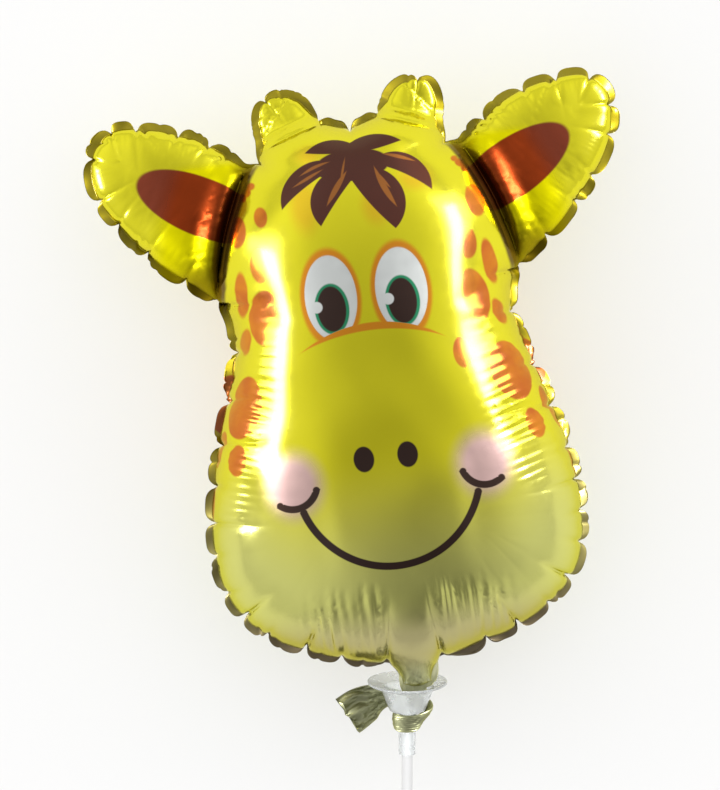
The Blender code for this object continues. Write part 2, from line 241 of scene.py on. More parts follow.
def rows_beside(line, offsets, step):
    """Points about step apart along an open line, and in rows beside it."""
    run = np.concatenate([[0.0], np.cumsum(np.linalg.norm(np.diff(line, axis=0), axis=1))])
    wanted = np.linspace(0.0, run[-1], int(run[-1] / step) + 2)
    even = np.stack([np.interp(wanted, run, line[:, k]) for k in (0, 1)], axis=1)
    ahead = np.gradient(even, axis=0)
    left = np.stack([-ahead[:, 1], ahead[:, 0]], axis=1) / np.linalg.norm(ahead, axis=1)[:, None]
    return np.vstack([even + left * offset for offset in offsets])


def arc_line(start, end, bow, count=40):
    """Points along an arc that bows to the left by bow."""
    start, end = np.array(start, float), np.array(end, float)
    half = 0.5 * (end - start)
    left = np.array((-half[1], half[0])) / np.hypot(*half)
    t = np.linspace(-1.0, 1.0, count)[:, None]
    return start + half * (1.0 + t) + left * bow * (1.0 - t * t)


def sheet(edge, weld_width, guides):
    """One sheet's points and triangles: rows that follow the edge and the guides, then an open middle.

    Returns the points, the triangles, and how many points the rows of the margin and rim take.
    """
    normal = outward_normals(edge)
    depths = [*MARGIN_ROWS, *(weld_width + d for d in RIM_ROWS)]
    rows = [edge - normal * depth for depth in depths]
    count = len(edge)
    inner = rows[-1]
    kept, cells = [], {}
    keep_apart(inner, 0.0, kept, cells)
    for guide in guides:
        deep, _ = inward_from(guide, edge)
        keep_apart(guide[deep > weld_width + RIM_ROWS[-1] + 0.7], 0.45, kept, cells)
    for depth in SIDE_ROWS:
        row = edge - normal * (weld_width + depth)
        deep, _ = inward_from(row, edge)
        keep_apart(row[deep > (weld_width + depth) * 0.985], 0.62 * EDGE_STEP, kept, cells)
    low, high = inner.min(axis=0), inner.max(axis=0)
    middle = lattice(OPEN_LATTICE, low, high)
    deep, _ = inward_from(middle, edge)
    keep_apart(middle[deep > weld_width + RIM_ROWS[-1] + 1.0], 0.75 * OPEN_LATTICE, kept, cells)

    loop = [(i, (i + 1) % count) for i in range(count)]
    filled = delaunay_2d_cdt([Vector(p) for p in kept], loop, [], 1, 1e-6)
    kept = np.array([tuple(p) for p in filled[0]])
    faces = np.array([f for f in filled[2] if len(f) == 3])
    inside, _ = inward_from(kept[faces].mean(axis=1), inner)
    faces = faces[inside > 0.0]
    base = (len(rows) - 1) * count
    points = np.vstack(rows[:-1] + [kept])
    faces = np.vstack([between_rings(len(rows), count), faces + base])
    corner = points[faces]
    first, second = corner[:, 1] - corner[:, 0], corner[:, 2] - corner[:, 0]
    turn = first[:, 0] * second[:, 1] - first[:, 1] * second[:, 0]
    faces = np.where((turn > 0.0)[:, None], faces, faces[:, ::-1])
    return points, faces[np.abs(turn) > 1e-7], count


def membrane(points, faces, held):
    """The sag of an evenly loaded membrane that is held at some points."""
    count = len(points)
    pairs, weights = [], []
    load = np.zeros(count)
    corner = points[faces]
    edges = [corner[:, (k + 2) % 3] - corner[:, (k + 1) % 3] for k in range(3)]
    area = 0.5 * np.abs(edges[0][:, 0] * edges[1][:, 1] - edges[0][:, 1] * edges[1][:, 0])
    for k in range(3):
        m, n = (k + 1) % 3, (k + 2) % 3
        pairs.append(faces[:, [m, n]])
        weights.append(-np.sum(edges[m] * edges[n], axis=1) / (4.0 * area))
        load += np.bincount(faces[:, k], area / 3.0, count)
    pairs, weights = np.vstack(pairs), np.concatenate(weights)
    first, second = pairs[:, 0], pairs[:, 1]
    free = ~held

    def pull(sag):
        flow = weights * (sag[first] - sag[second])
        return (np.bincount(first, flow, count) - np.bincount(second, flow, count)) * free

    own = np.bincount(first, weights, count) + np.bincount(second, weights, count)
    scale = np.where(free, 1.0 / np.maximum(own, 1e-9), 0.0)
    sag = np.zeros(count)
    left = load * free
    step = scale * left
    size = left @ step
    first_size = size
    for _ in range(4000):
        drawn = pull(step)
        move = size / (step @ drawn)
        sag += move * step
        left -= move * drawn
        turned_left = scale * left
        new_size = left @ turned_left
        if new_size < 1e-12 * first_size:
            break
        step = turned_left + step * new_size / size
        size = new_size
    return sag


def face_normals_at_points(place, faces):
    """Unit normals at points, averaged from their faces by area."""
    corner = place[faces]
    normal = np.cross(corner[:, 1] - corner[:, 0], corner[:, 2] - corner[:, 0])
    total = np.zeros_like(place)
    for k in range(3):
        for axis in range(3):
            total[:, axis] += np.bincount(faces[:, k], normal[:, axis], len(place))
    return total / np.maximum(np.linalg.norm(total, axis=1), 1e-12)[:, None]


# ---------------------------------------------------------------- pleats, lobes and ripples

# Where the edge turns sharply on the right half: the place, the way its crease runs, the crease's
# depth and reach, and how many lobes follow it along the edge.
NOTCHES = [
    ((0, 191), (0.0, -1.0), 3.0, 9.0, 1),
    ((12, 196), (0.25, -1.0), 3.0, 10.0, 2),
    ((51, 178), (-0.75, -0.66), 3.2, 10.0, 10),
    ((79, 107), (-1.0, -0.12), 3.6, 30.0, 2),
    ((81.5, 60), (-1.0, 0.06), 2.6, 22.0, 1),
    ((86, 38), (-1.0, -0.05), 3.0, 36.0, 2),
    ((95.5, 0), (-1.0, -0.12), 2.0, 34.0, 3),
    ((84, -50), (-0.83, 0.57), 4.6, 30.0, 2),
    ((55, -72), (-0.5, 0.86), 4.8, 32.0, 2),
    ((15, -85), (-0.16, 1.0), 5.0, 44.0, 1),
]
MIRROR = np.array((-1.0, 1.0))
LONG_CREASE = 20.0
LOBE_UNEVENNESS = 0.16
SMALL_PLEAT_DEPTH, SMALL_PLEAT_REACH = (0.08, 0.12), (0.6, 1.15)

# Fine ripples, as lengths and heights: on the flanks, at the chin, by the ears' welds and by their folds.
FLANK_RIPPLES = [(3.0, 0.02), (4.4, 0.2), (5.8, 0.12), (8.6, 0.07)]
CHIN_RIPPLES = [(3.6, 0.06), (4.9, 0.34), (6.6, 0.26), (9.7, 0.14)]
EAR_RIPPLES = [(2.9, 0.035), (4.1, 0.03)]
FOLD_RIPPLES = [(3.4, 0.05), (5.0, 0.12), (7.5, 0.12)]
CHIN_UP, CHIN_ACROSS, CHIN_MIDDLE, CHIN_INSIDE = (-36.0, -50.0), (60.0, 40.0), (6.0, 16.0), (1.0, 8.0)
FLANK_FOOT_UP, FLANK_TOP_UP, FLANK_RIM, FLANK_FADE = (-12.0, 6.0), (175.0, 150.0), (0.03, 0.12), 0.22
EAR_RIPPLE_BAND, FOLD_RIPPLE_BAND = (0.03, 0.2, 0.3, 0.6), (1.0, 6.0, 12.0, 22.0)

# Uneven swells, as lengths and heights: of the weld, of the margin's tilt and of the film; and the horns'
# facets.
SEAM_SWELL, TILT_SWELL, FILM_SWELL = (40.0, 0.8), (22.0, 0.12), (38.0, 0.22)
HORN_FACETS = (26.0, 0.3)
LOBE_REACH, SEAM_REACH = 17.0, 9.0


class Waves:
    """A smooth random field over the sheet, made from a few sine waves of about one length."""

    def __init__(self, rng, length, count=9):
        angle = rng.uniform(0.0, math.pi, count)
        size = 2.0 * math.pi / (length * rng.uniform(0.7, 1.5, count))
        self.way = np.stack([np.cos(angle), np.sin(angle)], axis=0) * size
        self.start = rng.uniform(0.0, 2.0 * math.pi, count)
        self.scale = math.sqrt(2.0 / count)

    def at(self, points):
        """About -1 to 1 at each point."""
        return np.sin(points @ self.way + self.start).sum(axis=1) * self.scale


def set_out_pleats(edge, rng):
    """Every pleat, in order, as its place along the edge, its start, its way inward, depth and reach."""
    place, whole_way = along(edge)
    inward = -outward_normals(edge)
    half = [(np.argmin(np.sum((edge - notch[0]) ** 2, axis=1)), *notch[1:]) for notch in NOTCHES]
    whole = [(place[i], edge[i], np.array(way), depth, reach, lobes) for i, way, depth, reach, lobes in half]
    counts = [notch[4] for notch in NOTCHES[:-1]][::-1]
    for (i, way, depth, reach, _), lobes in zip(half[:0:-1], counts):
        whole.append((whole_way - place[i], edge[i] * MIRROR, np.array(way) * MIRROR, depth, reach, lobes))
    ends = [notch[0] for notch in whole[1:]] + [whole_way]
    pleats = []
    for (at, start, way, depth, reach, lobes), until in zip(whole, ends):
        pleats.append((at, start, way / np.hypot(*way), depth, reach))
        gap = (until - at) / lobes
        for k in range(1, lobes):
            where = at + gap * (k + rng.uniform(-LOBE_UNEVENNESS, LOBE_UNEVENNESS))
            i = np.searchsorted(place, where) % len(edge)
            slant = rng.uniform(-LOBE_UNEVENNESS, LOBE_UNEVENNESS)
            way = inward[i] + slant * np.array((-inward[i, 1], inward[i, 0]))
            deep = gap * rng.uniform(*SMALL_PLEAT_DEPTH)
            reach = gap * rng.uniform(*SMALL_PLEAT_REACH)
            pleats.append((where, edge[i], way / np.hypot(*way), deep, reach))
    return pleats


def lobe_share(place, pleats, whole_way):
    """How far each place lies between its two pleats, from 0 to 1."""
    at = np.array([p[0] for p in pleats] + [whole_way])
    i = np.clip(np.searchsorted(at, place, side="right") - 1, 0, len(pleats) - 1)
    return np.clip((place - at[i]) / (at[i + 1] - at[i]), 0.0, 1.0)


def valleys(points, over, pleats):
    """How deep the pleats press the film in, at each point of the sheet and distance over the film."""
    total = np.zeros(len(points))
    for _, start, way, depth, reach in pleats:
        off = points - start
        run = off @ way
        aside = np.abs(off[:, 0] * way[1] - off[:, 1] * way[0])
        width = 0.9 + 0.03 * over
        fade = 0.55 * np.exp(-over / 9.0) + 0.45 * (1.0 - smooth_step(0.25, 1.0, run / reach))
        total = np.maximum(total, depth * np.exp(-(aside / width) ** 1.2) * fade * (run > -3.0))
    return total


def fine_ripples(points, place, waves, rng):
    """Narrow ripples that change along place, in groups; waves lists their lengths and heights."""
    total = np.zeros(len(points))
    for wave, height in waves:
        shift, group = Waves(rng, 70.0), Waves(rng, 30.0)
        phase = 2.0 * math.pi * place / wave + 0.9 * shift.at(points)
        share = np.clip(0.7 + 0.5 * group.at(points), 0.1, 1.5)
        total += height * (np.sin(phase) + 0.3 * np.sin(2.0 * phase + 1.0)) * share
    return total


def crumple(points, rng, size):
    """Flat facets between sharp ridges, about -1 to 1."""
    total = np.zeros(len(points))
    for _ in range(5):
        angle = rng.uniform(0.0, math.pi)
        way = np.array([math.cos(angle), math.sin(angle)]) * math.pi / (size * rng.uniform(0.8, 1.7))
        total += 1.0 - 2.0 * np.abs(np.sin(points @ way + rng.uniform(0.0, math.pi)))
    return total / 2.2


def smooth_step(low, high, value):
    """0 at low, 1 at high, smooth between them and level outside."""
    t = np.clip((value - low) / (high - low), 0.0, 1.0)
    return t * t * (3.0 - 2.0 * t)


def band(value, start, full, until, end):
    """Goes smoothly from 0 at start to 1 at full, and from 1 at until back to 0 at end."""
    return smooth_step(start, full, value) * (1.0 - smooth_step(until, end, value))


def fold_share(beside, head_reach, far_reach):
    """How deep a fold is, from 0 to 1: round and steep on the head's side, and gentle past it."""
    near = np.clip(1.0 + beside / head_reach, 0.0, 1.0)
    return np.where(beside < 0.0, 1.0 - np.sqrt(1.0 - near ** 2), np.exp(-np.abs(beside) / far_reach))


def unrolled_excess(share):
    """How much longer the film is than its shadow, from a place to the middle, per half width."""
    turn = np.linspace(0.0, 0.5 * math.pi, 400)
    ratio = 0.72
    step = np.hypot(np.cos(turn), ratio * np.sin(turn))
    arc = np.concatenate([[0.0], np.cumsum(0.5 * (step[1:] + step[:-1]) * np.diff(turn))])
    excess = arc - np.sin(turn)
    return np.interp(share, 1.0 - np.sin(turn)[::-1], excess[::-1])


class FlatFilm:
    """The flat film, and how each of its points lies to the weld, the folds and the head's parts.

    place is the nearest place along the edge, inside and outside are how far a point is from the weld, and
    deep_share is how far in it is for the film's width there.
    """

    def __init__(self, look, rng):
        self.weld = look.weld_width / MM
        self.edge = film_edge()
        self.ring, self.whole_way = along(self.edge)
        self.out = outward_normals(self.edge)
        self.pleats = set_out_pleats(self.edge, rng)
        self.points, self.faces, self.count = sheet(self.edge, self.weld, self.guides())
        self.margin = len(MARGIN_ROWS) * self.count
        welded = self.margin + self.count
        deep, self.place = inward_from(self.points, self.edge)
        deep[:welded] = np.repeat([*MARGIN_ROWS, self.weld], self.count)
        self.place[:welded] = np.tile(self.ring, len(MARGIN_ROWS) + 1)
        self.outside = self.weld - deep[:self.margin]
        self.inside = np.clip(deep - self.weld, 0.0, None)
        self.outward = np.stack([np.interp(self.place, self.ring, self.out[:, k], period=self.whole_way)
                                 for k in (0, 1)], axis=1)
        self.sag = membrane(self.points, self.faces, np.arange(len(self.points)) < welded)
        slope = np.where(self.inside > 0.02, self.sag / np.maximum(self.inside, 0.02), 0.0)
        self.half_width = np.maximum(slope + 0.5 * self.inside, LEAST_HALF_WIDTH)
        self.deep_share = np.clip(self.inside / self.half_width, 0.0, 1.0)

        self.across, self.up = self.points.T
        right_half = np.abs(self.points) * (1.0, 0.0) + self.points * (0.0, 1.0)
        self.past_ear = beside_arc(right_half, *EAR_FOLD)
        self.past_horn = beside_arc(right_half, *HORN_FOLD)
        self.on_ear = smooth_step(*EAR_PAST_FOLD, self.past_ear) * smooth_step(*EAR_ROOT_UP, self.up)
        off_horn = smooth_step(*HORN_ROOT_ACROSS, np.abs(self.across))
        self.on_horn = smooth_step(*HORN_PAST_FOLD, self.past_horn) * (1.0 - off_horn)
        self.broad = smooth_step(*BROAD_HALF_WIDTH, self.half_width)

    def guides(self):
        """Rows of points that follow the long creases and the folds of ears and horns."""
        rows = [rows_beside(start + np.outer(np.linspace(2.0, reach, 9), way), CREASE_ROWS, 1.4)
                for _, start, way, _, reach in self.pleats if reach > LONG_CREASE]
        for side in (1.0, -1.0):
            for fold in (EAR_FOLD, HORN_FOLD):
                rows.append(rows_beside(arc_line(*fold) * (side, 1.0), side * np.array(FOLD_ROWS), 1.1))
        return rows

    def unrolled(self):
        """Each point's place on the film when its sides are laid flat."""
        flat = self.points + self.outward * (self.half_width * unrolled_excess(self.deep_share))[:, None]
        rim = flat[self.margin:self.margin + self.count]
        for r, depth in enumerate(MARGIN_ROWS):
            flat[r * self.count:(r + 1) * self.count] = rim + self.out * (self.weld - depth)
        return flat


def pillow_rise(film, look):
    """How far the film stands above the weld, with folds by its ears and horns and dips at its shoulders."""
    rise = look.half_thickness / MM * np.sqrt(1.0 - (1.0 - film.sag / film.sag.max()) ** look.fullness)
    rim_share = 1.0 - film.deep_share
    squarer = np.sqrt((1.0 - rim_share ** EAR_SQUARENESS) / np.maximum(1.0 - rim_share ** 2, 1e-6))
    rise *= 1.0 + (look.ear_fullness * squarer - 1.0) * film.on_ear
    rise *= 1.0 - (1.0 - look.ear_fullness) * film.on_horn
    rise *= 1.0 - look.ear_fold * fold_share(film.past_ear, *EAR_FOLD_REACH)
    rise *= 1.0 - look.horn_fold * fold_share(film.past_horn, *HORN_FOLD_REACH)

    dip = look.shoulder_dip / MM * film.broad
    shoulder = np.exp(-((film.inside - SHOULDER_INSIDE) / SHOULDER_WIDTH) ** 2)
    rise -= dip * band(film.up, *SHOULDER_UP) * shoulder
    lowered = film.up + np.where(film.across < 0.0, LEFT_CHEEK_DROP, 0.0)
    under_cheek = smooth_step(*CHEEK_TOP_UP, lowered) * smooth_step(*CHEEK_FOOT_UP, film.up)
    rise -= dip * under_cheek * smooth_step(*CHEEK_ACROSS, np.abs(film.across))
    return rise


def ripple_fields(film):
    """Each kind of ripple: how strong it is at each point, the places it runs across, and its waves."""
    deep, up, aside = film.deep_share, film.up, np.abs(film.across)
    chin = smooth_step(*CHIN_UP, up) * smooth_step(*CHIN_ACROSS, aside)
    chin *= smooth_step(*CHIN_INSIDE, film.inside) * smooth_step(*CHIN_MIDDLE, aside)
    flank = film.broad * (0.12 + 0.88 * smooth_step(*FLANK_FOOT_UP, up)) * smooth_step(*FLANK_TOP_UP, up)
    flank_end = 0.36 + 0.18 * smooth_step(-10.0, 10.0, film.across) * (1.0 - smooth_step(50.0, 75.0, up))
    flank *= smooth_step(*FLANK_RIM, deep) * (1.0 - smooth_step(-FLANK_FADE, 0.0, deep - flank_end))
    flank *= 1.0 - chin
    narrow = (1.0 - film.broad) * band(deep, *EAR_RIPPLE_BAND)
    by_fold = band(film.past_ear, *FOLD_RIPPLE_BAND)
    return [(flank, film.place, FLANK_RIPPLES), (chin, film.across, CHIN_RIPPLES),
            (narrow, film.place, EAR_RIPPLES), (by_fold, up, FOLD_RIPPLES)]


def swells(rng, points, length, height):
    """One field of uneven swells of a length and height."""
    return height * Waves(rng, length).at(points)


def surface_push(film, look, over, swell, above_neck, fields, rng):
    """How far lobes, pleats, ripples, facets and swells push one sheet's points outward."""
    points = film.points
    push = look.lobe_rise / MM * np.sqrt(swell) * (0.35 + 0.65 * (1.0 - np.exp(-over / 1.6)))
    push *= np.exp(-over / LOBE_REACH) * (0.6 + 0.4 * film.broad)
    push *= (1.0 - 0.5 * film.on_ear) * (1.0 - 0.6 * film.on_horn)
    push -= look.pleat_depth * valleys(points, over, film.pleats) * (1.0 - 0.55 * film.on_horn)
    push += look.ripple_height * sum(strength * fine_ripples(points, place, waves, rng)
                                     for strength, place, waves in fields)
    size, height = HORN_FACETS
    push += height * film.on_horn * crumple(points, rng, size) * smooth_step(2.0, 12.0, over)
    return push * above_neck + swells(rng, points, *FILM_SWELL)


def sheet_normals(film, place3, faces):
    """The way each point of a sheet is pushed: out of the film, and at the weld straight outward."""
    at_weld = np.clip(1.0 - film.inside / 1.2, 0.0, 1.0)[:, None]
    flat_way = np.column_stack([film.outward, np.zeros(len(place3))])
    normal = face_normals_at_points(place3, faces) * (1.0 - at_weld) + flat_way * at_weld
    return normal / np.linalg.norm(normal, axis=1)[:, None]


def inflated_sheets(look, rest_height):
    """The film's two sheets, each as points, triangles and marks, and the count of points on the edge."""
    rng = np.random.default_rng(11)
    film = FlatFilm(look, rng)
    rise, flat, fields = pillow_rise(film, look), film.unrolled(), ripple_fields(film)
    points, margin = film.points, film.margin
    over = np.hypot(film.inside, rise)
    above_neck = 1.0 - smooth_step(*NECK_UP, film.up)
    swell = np.sin(math.pi * lobe_share(film.place, film.pleats, film.whole_way))
    seam = -look.seam_sway / MM * (swell - 0.45) + swells(rng, points, *SEAM_SWELL)
    tuck = np.clip(0.85 * (1.0 - swell[:margin]) ** 2 + 1.0 - above_neck[:margin], 0.0, 0.97)
    tilt = -0.08 - 0.5 * smooth_step(60.0, 90.0, film.across[:margin]) - 0.12 * swell[:margin]
    tilt += swells(rng, points[:margin], *TILT_SWELL)
    sides = []
    for side in (1.0, -1.0):
        height = rise if side > 0 else np.minimum(rise, rest_height)
        place3 = np.column_stack([points, side * (height + 0.15)])
        faces = film.faces if side > 0 else film.faces[:, ::-1]
        normal = sheet_normals(film, place3, faces)
        place3 += normal * surface_push(film, look, over, swell, above_neck, fields, rng)[:, None]
        place3[:, 2] += seam * np.exp(-over / SEAM_REACH)
        place3[:margin, :2] -= (film.outside * tuck)[:, None] * np.tile(film.out, (len(MARGIN_ROWS), 1))
        place3[:margin, 2] += film.outside * tilt
        sides.append((place3, faces, flat, points, np.clip(1.0 - film.inside / 0.4, 0.0, 1.0)))
    return *sides, film.count


def balloon_mesh(look, rest_height):
    """Points, triangles and marks of the pillow: both sheets, and the wall of the edge between them."""
    (front, faces, film, plan, weld), (back, back_faces, *_), count = inflated_sheets(look, rest_height)
    total = len(front)
    here = np.arange(count)
    after = (here + 1) % count
    wall = np.vstack([np.column_stack([here, here + total, after + total]),
                      np.column_stack([here, after + total, after])])
    verts = np.vstack([front, back])
    tris = np.vstack([faces, back_faces + total, wall])
    marks = {"film": np.vstack([film, film]), "plan": np.vstack([plan, plan]),
             "weld": np.concatenate([weld, weld]), "front": np.repeat([1.0, 0.0], total)}
    return verts, tris, marks


# ---------------------------------------------------------------- the print, in millimetres on the film

ART_MIDDLE = (-11.0, 54.0)
ART_SCALE = 0.964

# An eye's parts: how far each lies beside the eye's middle, its height on the face, and its half sizes.
EYES, GLINTS = (-19.6, 16.0), (-27.2, 8.8)
EYE_RING = (-0.1, 104.0, 15.3, 25.2)
EYE_WHITE = (0.0, 104.3, 13.1, 21.3)
IRIS = (-0.1, 98.6, 8.7, 12.8)
PUPIL = (-0.2, 98.6, 7.2, 11.4)
GLINT = (0.0, 100.2, 2.9, 2.9)
NOSE_ARC = ((-37, 79), (34, 79), 9.0)
NOSTRILS, NOSTRIL_SIZE = [(-13, 22), (9, 22)], (5.2, 6.5)
SMILE = ((-46, -1), (42, -1), -32.0, 3.8)
DIMPLES = [((-57.5, 3.5), (-38.5, 9.5), -5.0, 3.6), ((35.5, 10), (54.5, 4.5), -5.0, 3.6)]
CHEEKS, CHEEK_SIZE = [(-50, 13), (47, 13)], (14.5, 16.0)
INNER_EAR = [((98, 170.5), (11, 11), 0), ((80, 160), (36, 15), 29), ((62, 150), (20, 12), 29)]

# Bands past an ear's fold and up the face, each as the values where it starts, is full, ends and is gone,
# and how strong they are together: painted shade in the fold at the ear's root and on the ear's lower part
# beside it, and where the root is dull.
PAINTED_EAR_SHADES = [((-2.6, -0.6, 1.0, 14.0), (100.0, 114.0, 176.0, 181.0), 1.0),
              ((-1.0, 4.0, 14.0, 38.0), (94.0, 102.0, 120.0, 142.0), 0.75)]
EAR_ROOT = ((0.0, 1.0, 30.0, 44.0), (98.0, 106.0, 178.0, 184.0), 1.0)

# Heights between which each tone of the film's base colour gives way to the next.
MUZZLE_TONE, CHIN_TONE = (-44.0, 26.0), (-44.0, -68.0)
NECK_TONE, TAIL_TONE = (-76.0, -90.0), (-110.0, -130.0)
DULL_TAIL, SOFTER_CHIN = (-104.0, -116.0), (-8.0, -40.0)

# Each lock of hair is a leaf: tip, root, and how far its two edges bow to the left of that line.
LOCKS = [
    ((-24, 179.5), (6, 176), 6.8, -1.0),
    ((25.5, 180), (-8, 176), 1.5, -6.8),
    ((-38.5, 151.5), (-6, 170), 13.0, 2.5),
    ((-20, 140.5), (2, 166), 14.5, 0.8),
    ((17, 135), (-4, 166), 1.5, -17.0),
    ((37.5, 152.5), (8, 170), -2.2, -12.5),
]
HAIR_MIDDLE = ((-1, 170), (19, 8.5))
STRANDS = [
    ((-28, 168), (-12, 173), 1.6, 0.0),
    ((-32, 162.5), (-16, 169.5), 1.0, -0.6),
    ((-16, 150.5), (-4, 167), 1.6, -1.2),
    ((-8, 160), (-4, 174), 0.6, -0.5),
    ((31, 168.5), (15, 174), 0.5, -1.3),
    ((19, 146), (10, 168), 2.2, -0.8),
    ((17, 156), (12, 164), 0.9, -0.4),
]
HAIR_SHADES = [((-27, 152), (7, 13)), ((9, 148), (7, 9)), ((30, 160), (8, 6)), ((-22, 178), (6, 4))]

# Spots: middle, half width, half height and turn in degrees. The high ones are drawn on the face, and the
# low ones on the unrolled film, because they reach round the side.
HIGH_SPOTS = {
    -1: [(63, 144, 4.6, 8.2, -6), (50, 149.5, 3.5, 5.3, 0), (53, 125.5, 5.3, 9.3, 0),
         (64.5, 112, 3.4, 11.5, -3), (54, 98.5, 8.2, 14, -5), (65.5, 88, 3.0, 6.7, -16),
         (56, 163.5, 2.7, 2.2, 30), (53.5, 166.5, 2.4, 2, 0), (58, 161.5, 1.8, 2.4, 0)],
    1: [(59, 145.5, 5, 8.5, 8), (52, 124.5, 5, 8.5, 0), (62.5, 114, 3.8, 11.5, 5),
        (52.5, 97, 7.5, 14, 8), (64.5, 88, 3.2, 6.9, 18), (43, 69.5, 5, 8, 0),
        (54, 166, 2.7, 2.2, -30), (56.5, 163, 2.4, 2.2, 0), (51.5, 168.5, 1.8, 1.6, 0)],
}
LOW_SPOTS = {
    -1: [(76, 57, 13, 15.5, -12), (94, 45, 4.5, 3.5, 0), (98, 37, 4, 7, -20), (80, 31, 6.5, 8, 0),
         (98, 79, 5, 12, -8), (101, 55, 4.5, 7, -8), (106, 12, 5, 10, 0)],
    1: [(70, 59, 14, 15, 14), (92, 46, 4.5, 6, 10), (98, 36, 4, 7, 20), (78, 32, 6.2, 8, 0),
        (97, 78, 4.5, 11, 8), (101, 58, 4, 7, 8), (106, 12, 5, 10, 0)],
}

# How much of the foil's metal shows under thin and solid ink, and how soft solid and dull places are.
METAL_SHARE, INK_METAL_SHARE = 0.94, 0.88
INK_ROUGHNESS, DULL_ROUGHNESS = 0.42, 0.38


class Drawing:
    """Writes shader nodes that draw soft-edged shapes on a plane, and lays inks over one another."""

    def __init__(self, owner):
        owner.use_nodes = True
        self.owner = owner
        self.tree = owner.node_tree
        self.tree.nodes.clear()

    def node(self, kind, **settings):
        made = self.tree.nodes.new(kind)
        for name, value in settings.items():
            setattr(made, name, value)
        return made

    def feed(self, socket, value):
        """Links a node's output to a socket, or sets the socket to a plain value or ink."""
        if isinstance(value, bpy.types.NodeSocket):
            self.tree.links.new(value, socket)
        else:
            socket.default_value = (*value, 1.0) if socket.type == "RGBA" else value

    def fed(self, made, **values):
        """A node again, with some of its sockets fed by name."""
        for name, value in values.items():
            self.feed(made.inputs[name.replace("_", " ")], value)
        return made

    def maths(self, operation, *values):
        made = self.node("ShaderNodeMath", operation=operation)
        for socket, value in zip(made.inputs, values):
            self.feed(socket, value)
        return made.outputs["Value"]

    def vector(self, operation, *values):
        made = self.node("ShaderNodeVectorMath", operation=operation)
        for socket, value in zip(made.inputs, values):
            self.feed(socket, value)
        return made.outputs["Value" if operation in ("LENGTH", "DISTANCE", "DOT_PRODUCT") else "Vector"]

    def ramp(self, value, start, end, low=0.0, high=1.0):
        """Goes smoothly from low at start to high at end."""
        made = self.node("ShaderNodeMapRange", interpolation_type="SMOOTHSTEP")
        return self.fed(made, Value=value, From_Min=start, From_Max=end, To_Min=low, To_Max=high).outputs[0]

    def band(self, value, start, full, until, end):
        """Goes smoothly from 0 at start to 1 at full, and from 1 at until back to 0 at end."""
        return self.both(self.ramp(value, start, full), self.ramp(value, end, until))

    def attribute(self, name, output="Vector"):
        return self.node("ShaderNodeAttribute", attribute_name=name).outputs[output]

    def where(self, name):
        """Each point's place, in the coordinates of that name."""
        return self.node("ShaderNodeTexCoord").outputs[name]

    def noise(self, at, size, detail, roughness=0.5):
        made = self.node("ShaderNodeTexNoise")
        return self.fed(made, Vector=at, Scale=1.0 / size, Detail=detail, Roughness=roughness).outputs["Fac"]

    def split(self, vector):
        """The three parts of a vector."""
        return self.fed(self.node("ShaderNodeSeparateXYZ"), Vector=vector).outputs

    def moved(self, at, kind, scale, middle=(0.0, 0.0), turn=0.0):
        """Places brought into a shape's own axes, or stretched, by the kind of mapping."""
        made = self.node("ShaderNodeMapping", vector_type=kind)
        return self.fed(made, Vector=at, Location=(*middle, 0.0), Scale=scale,
                        Rotation=(0.0, 0.0, math.radians(turn))).outputs[0]

    def ellipse(self, at, middle, size, turn=0.0, soft=0.35):
        """1 inside an ellipse, with an edge that is soft by the given width."""
        away = self.vector("LENGTH", self.moved(at, "TEXTURE", (*size, 1.0), middle, turn))
        edge = soft / min(size)
        return self.ramp(away, 1.0 + edge, 1.0 - edge)

    def beside_arc(self, at, tip, root, bow):
        """How far to the right of the arc from tip to root, which bows to the left by bow."""
        _, _, middle, radius = arc_circle(tip, root, bow)
        away = self.vector("DISTANCE", at, (*middle, 0.0))
        return self.maths("SUBTRACT", *((radius, away) if bow > 0.0 else (away, radius)))

    def leaf(self, at, tip, root, left, right, soft=0.3):
        """1 between two arcs that meet at the tip and the root."""
        inner = self.beside_arc(at, tip, root, left or 0.01)
        outer = self.maths("MULTIPLY", self.beside_arc(at, tip, root, right or 0.01), -1.0)
        return self.ramp(self.maths("MINIMUM", inner, outer), -soft, soft)

    def stroke(self, at, start, end, bow, width, soft=0.3):
        """1 on a line of even width along an arc, with round ends."""
        off = self.maths("ABSOLUTE", self.beside_arc(at, start, end, bow))
        line = self.ramp(off, 0.5 * width + soft, 0.5 * width - soft)
        left = math.copysign(1.0, bow) * arc_circle(start, end, bow)[1]
        beyond = self.vector("DOT_PRODUCT", self.vector("SUBTRACT", at, (*start, 0.0)), (*left, 0.0))
        line = self.both(line, self.maths("GREATER_THAN", beyond, 0.0))
        ends = [self.ellipse(at, p, (0.5 * width, 0.5 * width), soft=soft) for p in (start, end)]
        return self.most([line, *ends])

    def joined(self, operation, values):
        """All the values brought together, one after another, by one operation."""
        total = values[0]
        for value in values[1:]:
            total = self.maths(operation, total, value)
        return total

    def most(self, masks):
        """The greatest of several masks."""
        return self.joined("MAXIMUM", masks)

    def both(self, *masks):
        """The product of several masks."""
        return self.joined("MULTIPLY", masks)

    def added(self, *values):
        """The sum of several values."""
        return self.joined("ADD", values)

    def over(self, below, ink, mask, blend="MIX"):
        """An ink laid over what is below, where the mask is 1."""
        made = self.node("ShaderNodeMix", data_type="RGBA", blend_type=blend)
        for socket, value in ((made.inputs["Factor"], mask), (made.inputs[6], below), (made.inputs[7], ink)):
            self.feed(socket, value)
        return made.outputs[2]

    def mottled(self, ink, share, mask):
        """An ink, darkened to a share of itself where the mask is 0."""
        return self.over([share * part for part in ink], ink, mask)

